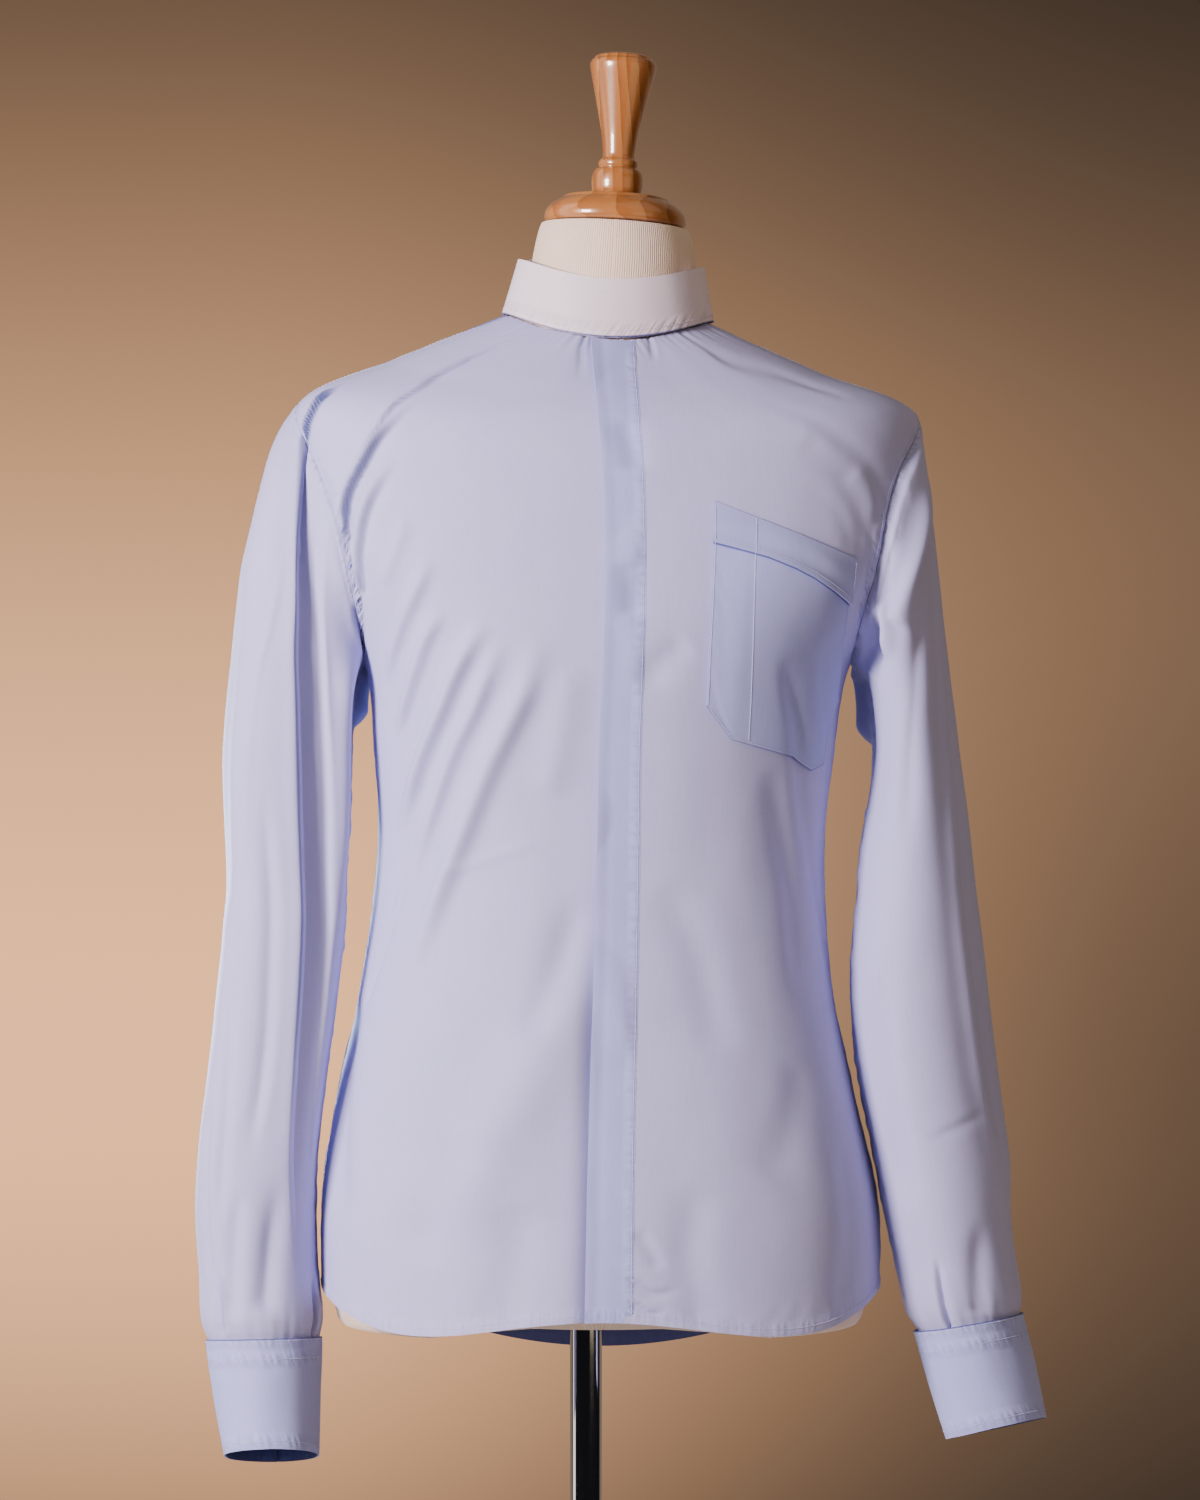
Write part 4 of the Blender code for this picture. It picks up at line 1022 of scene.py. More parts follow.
sleeveColumns = ("outX", "outZ", "inX", "inZ", "depth", "midY", "rock", "groove", "crease")
uncreased = (0.0, 100.0)  # the groove and crease of a sleeve that has none
sleeveRows = {
    "right": Rows(sleeveColumns, {
        "armhole": (-0.1985, 1.2430, -0.1545, 1.0650, 0.062, 0.000, 0.000, 0.0040, 52.0),
        "head": (-0.2100, 1.2290, -0.1585, 1.0560, 0.063, 0.000, 0.000, 0.0080, 61.0),
        "cap": (-0.2200, 1.2060, -0.1610, 1.0450, 0.065, -0.001, 0.000, 0.0100, 71.0),
        "deltoid": (-0.2310, 1.1620, -0.1625, 1.0300, 0.066, -0.003, 0.000, 0.0106, 84.0),
        "upper": (-0.2400, 1.1240, -0.1628, 1.0120, 0.066, -0.004, 0.000, 0.0108, 90.0),
        "biceps": (-0.2464, 1.0770, -0.1630, 0.9850, 0.065, -0.006, 0.000, 0.0106, 96.0),
        "aboveElbow": (-0.2522, 1.0100, -0.1636, 0.9500, 0.062, -0.008, 0.000, 0.0106, 101.0),
        "elbow": (-0.2516, 0.9550, -0.1656, 0.9150, 0.060, -0.010, 0.000, 0.0105, 104.5),
        "belowElbow": (-0.2502, 0.9000, -0.1664, 0.8800, 0.058, -0.012, 0.000, 0.0100, 106.6),
        "forearm": (-0.2548, 0.8420, -0.1712, 0.8350, 0.056, -0.014, 0.000, 0.0090, 110.6),
        "lower": (-0.2612, 0.7830, -0.1788, 0.7830, 0.054, -0.016, 0.000, 0.0072, 117.0),
        "aboveWrist": (-0.2685, 0.7220, -0.1868, 0.7220, 0.051, -0.018, 0.001, 0.0048, 125.0),
        "wrist": (-0.2700, 0.6780, -0.1882, 0.6780, 0.049, -0.019, 0.002, 0.0018, 130.0),
        "gather": (-0.2668, 0.6330, -0.1872, 0.6330, 0.046, -0.020, 0.003, 0.000, 131.0),
        "cuffTop": (-0.2622, 0.5895, -0.1855, 0.5915, 0.041, -0.021, 0.005, 0.000, 131.0),
        "cuffMiddle": (-0.2566, 0.5515, -0.1862, 0.5525, 0.0385, -0.022, 0.007, 0.000, 131.0),
        "cuffBottom": (-0.2496, 0.5095, -0.1872, 0.5105, 0.036, -0.023, 0.0106, 0.000, 131.0),
    }),
    "left": Rows(sleeveColumns, {level: (*sizes, *uncreased) for level, sizes in {
        "armhole": (0.2290, 1.2350, 0.1845, 1.0610, 0.062, 0.000, 0.000),
        "head": (0.2345, 1.2200, 0.1910, 1.0540, 0.063, 0.000, 0.000),
        "cap": (0.2385, 1.1940, 0.1972, 1.0460, 0.065, -0.001, 0.000),
        "deltoid": (0.2420, 1.1600, 0.2000, 1.0340, 0.066, -0.003, 0.000),
        "upper": (0.2462, 1.1200, 0.2010, 1.0170, 0.066, -0.004, 0.000),
        "biceps": (0.2510, 1.0730, 0.2005, 0.9930, 0.065, -0.006, 0.000),
        "aboveElbow": (0.2577, 1.0170, 0.1968, 0.9640, 0.062, -0.008, 0.000),
        "elbow": (0.2645, 0.9600, 0.1915, 0.9330, 0.060, -0.010, 0.000),
        "belowElbow": (0.2705, 0.9050, 0.1883, 0.8950, 0.058, -0.012, 0.000),
        "forearm": (0.2790, 0.8400, 0.1842, 0.8400, 0.056, -0.014, 0.000),
        "lower": (0.2860, 0.7810, 0.1880, 0.7810, 0.054, -0.016, 0.000),
        "aboveWrist": (0.2935, 0.7210, 0.1995, 0.7210, 0.051, -0.018, 0.001),
        "wrist": (0.2945, 0.6810, 0.2078, 0.6770, 0.049, -0.019, 0.002),
        "gather": (0.2975, 0.6440, 0.2178, 0.6350, 0.046, -0.020, 0.003),
        "cuffTop": (0.3019, 0.6080, 0.2300, 0.5960, 0.041, -0.021, 0.004),
        "cuffMiddle": (0.3100, 0.5740, 0.2400, 0.5600, 0.0385, -0.022, 0.005),
        "cuffBottom": (0.3182, 0.5360, 0.2520, 0.5220, 0.036, -0.023, 0.007),
    }.items()}),
}
cuffTop, cuffBottom = (sleeveRows["right"].level(n) for n in ("cuffTop", "cuffBottom"))
sleeve = {
    "size": (0.315, 0.640), "cell": 0.0026, "columns": 150, "perDegree": 0.00096,
    "blend": 3.0, "tuck": 0.0035, "foldDepth": 1.4, "hold": 0.016,
    "seed": {"right": 31.0, "left": 32.0},
    "rake": {"right": 0.0, "left": 0.36},
    "square": {"right": (0.55, 0.40), "left": (1.0, 1.0)},
    "puff": {"right": 0.0020, "left": 0.0066},
    "seamPucker": 0.0013, "headPucker": 0.0014, "tucked": 0.0012, "gather": 0.0006, "blouse": 0.0022,
    "ruck": {"head": 0.35, "away": 0.25, "reach": 0.02},
    "creaseShade": {"right": 0.62, "left": 0.0},
}
# the long crease, in degrees past its line: a sharp edge, then the cloth rises again in two steps
longCrease = {
    "edge": (-1.5, 6.5), "near": (0.65, 26.0, 42.0), "far": (0.35, 42.0, 80.0),
    "lip": (0.12, 3, 7.0), "hang": (0.26, -30.0, -2.0),
}
# shares of a sleeve's columns, against degrees from its crease
creaseKnots = ((0.0, None), (0.47, -32.0), (0.58, -2.0), (0.69, 8.0), (0.84, 42.0), (1.0, None))
cuff = {
    "size": (0.235, 0.074), "lift": 0.0012, "lapStart": 268.0, "lapRound": 380.0, "buttonAt": 279.0,
    "stitches": (("top", 0.0014), ("top", 0.0140), ("bottom", 0.0055)), "lapClear": 0.0005,
}
opening = {"size": (0.024, 0.095), "first": 270.0, "last": 306.0, "rise": 2.28, "point": 0.09, "stitch": 0.0015,
           "lift": 0.0014, "stepUp": 0.0014}
# as on the body, a row with two numbers after its ends paints shade into that sharp crease
sleeveFolds = {
    "right": foldsOf(sleeve, (
        ((66, 1148, 68, 1088, 62, 1049, 58, 977, 52, 897), 3, 0.6),
        ((121, 712, 110, 657, 98, 610), 11, -3.4, 0.6, (0.5, 0.2)),
        ((46, 900, 50, 820, 60, 740, 62, 670), 7, -1.6, 0.6),
        ((78, 980, 84, 880, 92, 790, 90, 720), 7.5, -1.4, 0.8),
        ((34, 760, 40, 700, 44, 630), 5.5, -1.4, 0.7),
        ((80, 700, 70, 650, 66, 606), 8, -2),
        ((56, 650, 53, 602), 3.5, -1.2, 1.6, (0.5, 0), 0.45, 1.4),
        ((160, 640, 157, 600), 3.5, -1.2, 1.6, (0.5, 0), 0.45, 1.4),
        ((202, 1085, 207, 1050, 204, 1012), 13, 8.5),
        ((146, 1130, 150, 1060, 153, 960, 150, 860), 12, 4),
        ((20, 1130, 24, 1000, 16, 880), 12, -1.8),
        ((200, 1030, 192, 900, 200, 780), 10, -2.6, 1),
        ((300, 1170, 288, 1020, 294, 860), 14, -3.8, 1.4),
        ((243, 1060, 250, 900, 242, 740), 13, -3.8, -1.2),
        ((326, 900, 332, 780, 322, 680), 11, -2.4),
        ((262, 700, 258, 650, 259, 600), 4, -2, 2.2, (0.4, 0)),
        ((244, 690, 243, 645, 245, 600), 4, -2, 2.2, (0.4, 0)),
        ((308, 680, 312, 640, 310, 600), 5, -1.4, 0, (0.4, 0)),
    )),
    "left": foldsOf(sleeve, (
        # a pressed edge between the lit face and the outer side, and soft dents inside it
        ((12, 1205, 30, 1089, 40, 1000, 44, 910, 42, 828, 38, 758, 31, 690), 10, 3, 1.6),
        ((30, 1190, 38, 1080, 42, 1000, 41, 910, 38, 830, 34, 750, 30, 690), 16, -3.6),
        ((66, 1093, 83, 1064, 100, 1001, 105, 925), 12, -1.8),
        ((38, 1200, 66, 1150, 92, 1110, 108, 1085), 8.5, 3.4, -1.2, (0.3, 0.15)),
        ((100, 1150, 116, 1120, 128, 1104), 8.5, -3.6),
        ((160, 1108, 142, 1092, 138, 1076, 152, 1056), 12, -11, 0, (0.3, 0.3)),
        ((118, 1104, 114, 1085, 124, 1062), 6, 4, 0, (0.3, 0.3)),
        ((42, 754, 78, 743, 107, 734), 4.4, -0.5, 0.3, (0.4, 0.4), 0.07, 1.2),
        ((60, 680, 74, 645, 82, 612), 10, -2, 0, (0.4, 0.1)),
        ((128, 850, 134, 760, 130, 680), 11, -2.4),
        ((112, 655, 118, 606), 4, -1.4, 1.4, (0.5, 0)),
        ((206, 1070, 205, 1040, 200, 1000), 11, 8.5),
        ((340, 1130, 336, 1000, 344, 880), 12, -1.8),
        ((300, 1160, 290, 1020, 296, 860), 14, -3.8, 1.4),
        ((243, 1060, 250, 910, 242, 750), 13, -3.8, -1.2),
        ((205, 1020, 198, 900, 204, 790), 10, -2.4, 1),
        ((326, 900, 330, 790, 322, 690), 11, -2.2),
        ((262, 715, 258, 660, 259, 605), 4, -2, 2.2, (0.4, 0)),
        ((244, 705, 243, 655, 245, 605), 4, -2, 2.2, (0.4, 0)),
    )),
}


def armholePoint(side, around):
    share = (1 + math.cos(math.radians(around))) / 2
    v = mix(armpit, shoulder, share)
    sign = 1 if side == "left" else -1
    if math.sin(math.radians(around)) >= 0:
        return bodyPoint(sign * (90 - scoop(v, body["armholeFront"])), v)
    return bodyPoint(sign * (90 + scoop(v, body["armholeBack"])), v)


@lru_cache(maxsize=8192)
def ringSizes(side, v):
    return tuple(sleeveRows[side].at(c, v) for c in sleeveColumns)


def ringPoint(side, around, v):
    outX, outZ, inX, inZ, depth, midY, rock, groove, crease = ringSizes(side, v)
    reach, front = math.cos(math.radians(around)), math.sin(math.radians(around))
    past = around - crease
    fallen = ease(*longCrease["edge"], past)
    risen = sum(share * ease(start, end, past) for share, start, end in (longCrease["near"], longCrease["far"]))
    high, before, wide = longCrease["lip"]
    dent = groove * (fallen * (1 - risen) - high * math.exp(-(((past + before) / wide) ** 2)))
    share, start, end = longCrease["hang"]
    hang = share * groove * ease(start, end, past) * (1 - fallen)
    x, z = (outX + inX + (outX - inX) * reach) / 2, (outZ + inZ + (outZ - inZ) * reach) / 2
    x += math.copysign(hang, inX - outX)
    raked = (
        sleeve["rake"][side] * abs(outX - inX) / 2 * reach * max(front, 0.0) ** 0.7
        * ease(0.0, 3.0, v) * mix(1.0, 0.22, ease(2.0, 7.0, v))
    )
    if front > 0:
        share = 1 - sleeve["square"][side][reach < 0]
        square = share * ease(0.0, 3.0, v) * (1 - ease(cuffTop - 3.5, cuffTop - 0.5, v))
        front = min(front ** (1 - square), front * mix(1.0, 3.2, square)) if square else front
    return Vector((x, midY - depth * front + dent + raked, z + rock * front))


def sleevePoint(side, around, v):
    around %= 360
    point = ringPoint(side, around, v)
    if v < sleeve["blend"]:
        leftOver = armholePoint(side, around) - ringPoint(side, around, 0.0)
        point += leftOver * (1 - v / sleeve["blend"]) ** 2
    return point


def roundFrom(side, a, start, whole=360.0):
    # both sleeves are woven so that their outsides face out
    return start + (a if side == "right" else 1 - a) * whole


def besideCrease(side, a, v):
    # degrees round the sleeve, with more columns along its crease
    crease = 360 + ringSizes(side, v)[8]
    for (a0, from0), (a1, from1) in zip(creaseKnots, creaseKnots[1:]):
        if a <= a1:
            start = 180.0 if from0 is None else crease + from0
            end = 540.0 if from1 is None else crease + from1
            return mix(start, end, (a - a0) / (a1 - a0))


def sleeveFoldHeight(side, spot, hold=1.0):
    s, z = spot.around * sleeve["perDegree"], spot.point.z
    return foldsAt(sleeveFolds[side], s, z) * sleeve["foldDepth"] * hold + slack(s, z, sleeve["seed"][side]) * hold


def sleeveSheet(side):
    rows, seed = sleeveRows[side], sleeve["seed"][side]
    levelAt = evenLevels(lambda v: sleevePoint(side, 60.0, v), 0.0, cuffTop + 0.10)
    run = Vector((rows.at("outX", 0) - rows.at("inX", 0), 0.0, rows.at("outZ", 0) - rows.at("inZ", 0)))
    away = Vector((math.copysign(run.z, run.x), 0.0, -abs(run.x))).normalized()

    def place(a, b):
        v = levelAt(1 - b)
        around = besideCrease(side, a if side == "right" else 1 - a, v)
        point = sleevePoint(side, around, v)
        if b == 1.0:
            point -= away * sleeve["tuck"]
        return point, around, v

    def relief(spot):
        below = spot.top - sleeve["tuck"]
        hold = ease(0.0, sleeve["hold"], below)
        height = sleeveFoldHeight(side, spot, hold)
        height += pucker(min(spot.left, spot.right), spot.point.z, sleeve["seamPucker"], seed) * hold
        head = pucker(max(below, 0.0), spot.around * 0.0011, sleeve["headPucker"], seed + 4)
        tucked = -sleeve["tucked"] * (1 - ease(0.0, sleeve["tuck"] + 0.002, spot.top))
        wave = noise.noise(Vector((spot.around / 9.0, seed, 2.0)))
        gathered = sleeve["gather"] * (1 - ease(0.004, 0.045, spot.bottom)) * wave
        blouse = sleeve["blouse"] * ease(0.004, 0.020, spot.bottom) * (1 - ease(0.020, 0.060, spot.bottom))
        inside = -sleeve["tucked"] * (1 - ease(0.004, 0.010, spot.bottom))
        front, inward = math.sin(math.radians(spot.around)), math.cos(math.radians(spot.around)) < 0
        facing = ease(0.15, 0.60, front) if inward else ease(0.45, 0.95, front)
        puff = sleeve["puff"][side] * facing * ease(0.0, 0.010, below) * (1 - ease(0.030, 0.110, spot.top))
        return height + head + tucked + gathered + blouse + inside + puff

    def hollow(spot):
        # shade painted at the head of the long crease, and where folds run sharply together
        past = (spot.around % 360) - ringSizes(side, spot.level)[8]
        depth = sleeve["creaseShade"][side] * math.exp(-((past / 2.2) ** 2))
        held = depth * (1 - ease(cuffTop - 5.0, cuffTop - 3.0, spot.level))
        return max(held, creaseShadeAt(sleeveFolds[side], spot.around * sleeve["perDegree"], spot.point.z))

    def ruck(spot):
        return sleeve["ruck"]["head" if spot.top < sleeve["ruck"]["reach"] else "away"]

    return Sheet(
        "sleeve_" + side, place, sleeve["size"], "shirt", relief, closed=True, cell=sleeve["cell"],
        columns=sleeve["columns"], stitched=(("top", sleeve["tuck"]), ("left", 0.0), ("right", 0.0)), ruck=ruck,
        hollow=hollow,
    )


def cuffSheet(side):
    levelAt = evenLevels(lambda v: sleevePoint(side, 60.0, v), cuffTop - 0.02, cuffBottom)

    def place(a, b):
        around, v = roundFrom(side, a, cuff["lapStart"], cuff["lapRound"]), levelAt(1 - b)
        return sleevePoint(side, around, v), around, v

    def relief(spot):
        over = fabric["double"] + cuff["lapClear"]
        lap = over * ease(cuff["lapStart"] + 350, cuff["lapStart"] + 362, spot.around)
        soft = 0.0008 * noise.noise(Vector((spot.around / 34, spot.bottom * 22, 41.0)))
        return lap + soft + pucker(spot.top - 0.014, spot.around * 0.0007, 0.0003, 42.0)

    # a line of painted shade along the cuff's top edge, and its inner face painted dark
    return Sheet(
        "cuff_" + side, place, cuff["size"], "double", relief, thickness="double", lift=cuff["lift"],
        cell=fabric["fineCell"], stitched=cuff["stitches"], rims=("top",), innerShade=1.0,
    )


def sleevePlacketSheet(side):
    # the bound opening above the cuff, with a pointed end
    first, last = opening["first"], opening["last"]
    low, high = cuffTop - 0.02, cuffTop - opening["rise"]
    levelAt = evenLevels(lambda v: sleevePoint(side, (first + last) / 2, v), low, high)

    def place(a, b):
        point = opening["point"] * abs(2 * a - 1) * ease(0.75, 1.0, b)
        around, v = roundFrom(side, a, first, last - first), levelAt(b - point)
        return sleevePoint(side, around, v), around, v

    def relief(spot):
        return sleeveFoldHeight(side, spot) + opening["stepUp"] * ease(0.0, 0.03, spot.bottom)

    edges = ("left", "right", "top")
    # a line of painted shade runs along its three sewn edges
    return Sheet(
        "sleeve_placket_" + side, place, opening["size"], "double", relief, lift=opening["lift"],
        cell=fabric["fineCell"], stitched=sewnAlong(opening["stitch"], *edges), rims=edges,
    )


sleeves = {side: sleeveSheet(side) for side in sleeveRows}
cuffs = {side: cuffSheet(side) for side in sleeveRows}
sleevePlackets = {side: sleevePlacketSheet(side) for side in sleeveRows}
print("sleeves and cuffs laid")


# the neck: a cloth band with the white collar round it

neck = {
    "bandRise": (0.0395, 0.0425), "taper": 0.885, "lap": 24.0, "clear": 0.0019, "flare": 0.0010, "over": 0.0021,
    "shift": Vector((0.0026, 0.0, 0.0)), "bandStitch": 0.0015, "collarStitch": 0.0040,
}


def neckPoint(turn, height, out=0.0):
    # height 0 is the neckline and 1 the collar's top edge
    base = bodyPoint(turn, neckline)
    middle = Vector((sum(bodySizes(neckline)[3:5]) / 2, 0.0, 0.0))
    away = Vector((base.x, base.y, 0.0)) - middle
    place = middle + neck["shift"] * height + away * mix(1.0, neck["taper"], height) + away.normalized() * out
    rise = mix(*neck["bandRise"], math.cos(math.radians(turn)) ** 2)
    return Vector((place.x, place.y, base.z + rise * height))


def bandPlace(a, b):
    turn = a * 360
    return neckPoint(turn, mix(0.03, 0.90, b)), turn, b


def collarPlace(a, b):
    lap = neck["lap"]
    turn = mix(-180.0, 180 + lap / 2, a)
    out = neck["clear"] + neck["over"] * ease(180 - lap, 180 - lap / 4, turn) + neck["flare"] * (1 - b) ** 2
    return neckPoint(turn, mix(0.045, 1.0, b), out), turn, b


neckband = Sheet(
    "neckband", bandPlace, (0.400, 0.036), "shirt", closed=True, cell=fabric["fineCell"],
    stitched=sewnAlong(neck["bandStitch"], "bottom"),
)
# a line of painted shade along the collar's lower edge
collar = Sheet(
    "collar", collarPlace, (0.430, 0.040), "collar",
    lambda s: 0.0003 * noise.noise(Vector((s.around / 16, s.bottom * 30, 51.0))),
    node="clerical_collar", thickness="collar", cell=fabric["fineCell"],
    stitched=sewnAlong(neck["collarStitch"], "bottom"), rims=("bottom",),
)
print("neck laid")


# the form inside the shirt

formRows = Rows(
    ("face", "flank"),
    {
        "hips": (0.010, 0.006),
        "seat": (0.010, 0.006),
        "highHip": (0.010, 0.006),
        "waist": (0.012, 0.007),
        "ribs": (0.011, 0.008),
        "armpit": (0.010, 0.014),
        "chest": (0.009, 0.034),
        "blades": (0.007, 0.036),
        "shoulder": (0.005, 0.020),
        "slope": (0.0037, 0.0029),
        "neckBase": (0.0034, 0.0028),
        "neckline": (0.0085, 0.0105),
    },
)
neckRows = Rows(
    ("height", "x", "half", "depth", "drop"),
    {
        "base": (1.3110, 0.0176, 0.0588, 0.0514, 0.041),
        "low": (1.3250, 0.0184, 0.0578, 0.0510, 0.042),
        "middle": (1.3430, 0.0196, 0.0568, 0.0508, 0.044),
        "high": (1.3590, 0.0204, 0.0540, 0.0495, 0.052),
        "top": (1.3655, 0.0206, 0.0518, 0.0475, 0.058),
    },
)
form = {
    "bottom": 0.600, "columns": 96, "bodyRings": 84, "neckRings": 14, "clear": 0.0012, "girth": 0.36, "arch": 0.019,
    # height above the bottom and share of the hips' ring, for the rounded underside
    "under": ((0.0, 0.40), (0.0, 0.80), (0.0, 0.945), (0.001, 0.965), (0.005, 0.983), (0.014, 0.995), (0.030, 1.0)),
}


def formRing(v):
    ring = []
    offset = bodyRows.level("hips")
    for i in range(form["columns"] + 1):
        turn = 360 * i / form["columns"]
        point = bodyPoint(turn, v)
        across = bodyPoint(turn + 0.1, v) - bodyPoint(turn - 0.1, v)
        up = bodyPoint(turn, v + 0.002) - bodyPoint(turn, v - 0.002)
        share = math.sin(math.radians(turn)) ** 6
        inset = mix(formRows.at("face", v - offset), formRows.at("flank", v - offset), share)
        ring.append(point - across.cross(up).normalized() * (inset + form["clear"]))
    return ring


def makeForm():
    hips = formRing(bodyRows.level("hips"))
    middle = sum(hips[:-1], Vector()) / form["columns"]
    rings = []
    for height, size in form["under"]:
        ring = []
        for i, point in enumerate(hips):
            side = ease(0.76, 0.96, math.cos(2 * math.pi * i / form["columns"]))
            rise = form["arch"] * side if size > 0.5 else 0.0
            place = mix(middle, point, size)
            ring.append(Vector((place.x, place.y, form["bottom"] + height + rise)))
        rings.append(ring)
    for k in range(form["bodyRings"] + 1):
        rings.append(formRing(mix(bodyRows.level("hips"), neckline, k / form["bodyRings"])))
    for k in range(form["neckRings"] + 1):
        v = mix(0.6, neckRows.last, k / form["neckRings"])
        height, x, half, depth, drop = (neckRows.at(c, v) for c in neckRows.columns)
        ring = []
        for i in range(form["columns"] + 1):
            turn = 2 * math.pi * i / form["columns"]
            across = half * math.sin(turn)
            ring.append(Vector((x + across, -depth * math.cos(turn), height - drop * across)))
        rings.append(ring)
    mesh = bmesh.new()
    weave = mesh.loops.layers.uv.new("cloth")
    columns, rows = form["columns"], len(rings) - 1
    bmesh.ops.create_grid(mesh, x_segments=columns, y_segments=rows, size=0.5)
    knots = {(round((v.co.x + 0.5) * columns), round((v.co.y + 0.5) * rows)): v for v in mesh.verts}
    weaveAt = {}
    for (i, j), vert in knots.items():
        vert.co = rings[j][i]
        weaveAt[vert] = (i / columns * form["girth"], rings[j][i].z)
    for face in mesh.faces:
        for loop in face.loops:
            loop[weave].uv = weaveAt[loop.vert]
    bmesh.ops.weld_verts(mesh, targetmap={knots[columns, j]: knots[0, j] for j in range(rows + 1)})
    rims = [edge for edge in mesh.edges if edge.is_boundary]
    bmesh.ops.holes_fill(mesh, edges=rims, sides=0)
    bmesh.ops.recalc_face_normals(mesh, faces=mesh.faces[:])
    return settle(newPiece("form_jersey", mesh, jersey), ("form_torso",), "jersey")


makeForm()
print("form covered")


# turned wood, tube and plate

turned = {
    "steps": 96,
    "lean": 3.0,
    "capAt": (0.0202, 0.0, 1.3656),
    "gap": 0.0003,
    "cap": ((0.0, 0.0), (0.0478, 0.0), (0.0498, 0.0030), (0.0500, 0.0065), (0.0486, 0.0105), (0.0450, 0.0145),
            (0.0402, 0.0175), (0.0384, 0.0180), (0.0368, 0.0205), (0.0300, 0.0214), (0.0, 0.0218)),
    "finial": ((0.0, 0.0), (0.0158, 0.0), (0.0176, 0.0035), (0.0181, 0.0090), (0.0177, 0.0145), (0.0160, 0.0178),
               (0.0128, 0.0190), (0.0138, 0.0208), (0.0138, 0.0238), (0.0114, 0.0256), (0.0110, 0.0290),
               (0.0128, 0.0430), (0.0165, 0.0600), (0.0208, 0.0790), (0.0230, 0.0880), (0.0233, 0.0915),
               (0.0222, 0.0940), (0.0208, 0.0948), (0.0196, 0.0972), (0.0120, 0.0990), (0.0, 0.0996)),
}
stand = {"poleRadius": 0.0112, "poleTop": 0.5997, "plateRadius": 0.165, "plateHeight": 0.012}


def softened(profile, times):
    # cuts each corner of a profile, and keeps its ends
    for _ in range(times):
        cut = [profile[0]]
        for (r0, z0), (r1, z1) in zip(profile, profile[1:]):
            cut += [(mix(r0, r1, 0.2), mix(z0, z1, 0.2)), (mix(r0, r1, 0.8), mix(z0, z1, 0.8))]
        profile = [*cut, profile[-1]]
    return profile


def spun(profile, steps):
    # a profile of (radius, height), turned about the upright
    mesh = bmesh.new()
    spine = [mesh.verts.new((r, 0.0, z)) for r, z in profile]
    edges = [mesh.edges.new(pair) for pair in zip(spine, spine[1:])]
    bmesh.ops.spin(
        mesh, geom=spine + edges, cent=(0.0, 0.0, 0.0), axis=(0.0, 0.0, 1.0), angle=2 * math.pi,
        steps=steps, use_merge=True,
    )
    bmesh.ops.remove_doubles(mesh, verts=mesh.verts, dist=0.000005)
    bmesh.ops.recalc_face_normals(mesh, faces=mesh.faces)
    return mesh


def turnPiece(name, profile, surface, place=Vector(), lean=0.0, steps=None, cleared=(), slotName="wood"):
    mesh = spun(profile, steps or turned["steps"])
    turn = Matrix.Rotation(math.radians(lean), 4, "Y")
    bmesh.ops.transform(mesh, matrix=Matrix.Translation(place) @ turn, verts=mesh.verts)
    return settle(newPiece(name, mesh, surface, 40), cleared, slotName)


capAt = Vector(turned["capAt"]) + Vector((0.0, 0.0, turned["gap"]))
lean = math.radians(turned["lean"])
onCap = capAt + Vector((math.sin(lean), 0.0, math.cos(lean))) * (turned["cap"][-1][1] + turned["gap"])
turnPiece("cap_turned", softened(turned["cap"], 2), capWood, capAt, turned["lean"], cleared=("neck_cap",))
turnPiece("finial_turned", softened(turned["finial"], 2), finialWood, onCap, turned["lean"], cleared=("finial",))
foot, radius, top = stand["plateHeight"] + turned["gap"], stand["poleRadius"], stand["poleTop"]
turnPiece(
    "pole_tube", ((0.0, foot), (radius, foot), (radius, top - 0.001), (radius - 0.001, top), (0.0, top)), chrome,
    cleared=("pole",), slotName="chrome",
)
edge, high = stand["plateRadius"], stand["plateHeight"]
turnPiece(
    "plate_disc",
    ((0.0, 0.0), (edge - 0.001, 0.0), (edge, 0.001), (edge, high - 0.004), (edge - 0.0005, high - 0.0022),
     (edge - 0.002, high - 0.0006), (edge - 0.0045, high), (0.022, high), (0.0, high)),
    steel, steps=160, cleared=("base_plate",), slotName="plate",
)
print("stand turned")


# buttons and the collar's stud

button = {"radius": 0.0052, "height": 0.0022, "hole": 0.00062, "apart": 0.00125, "thread": 0.00030, "spin": 0.4,
          "steps": 48, "up": 0.74, "clear": 0.0001}
studProfile = ((0.0, 0.0), (0.0036, 0.0), (0.0044, 0.0004), (0.0045, 0.0009), (0.0038, 0.0016), (0.0022, 0.0020),
               (0.0, 0.0021))
studHigh = 0.37


def stoodOn(point, way, spin=0.0):
    turn = way.to_track_quat("Z", "Y").to_matrix().to_4x4()
    return Matrix.Translation(point) @ turn @ Matrix.Rotation(spin, 4, "Z")


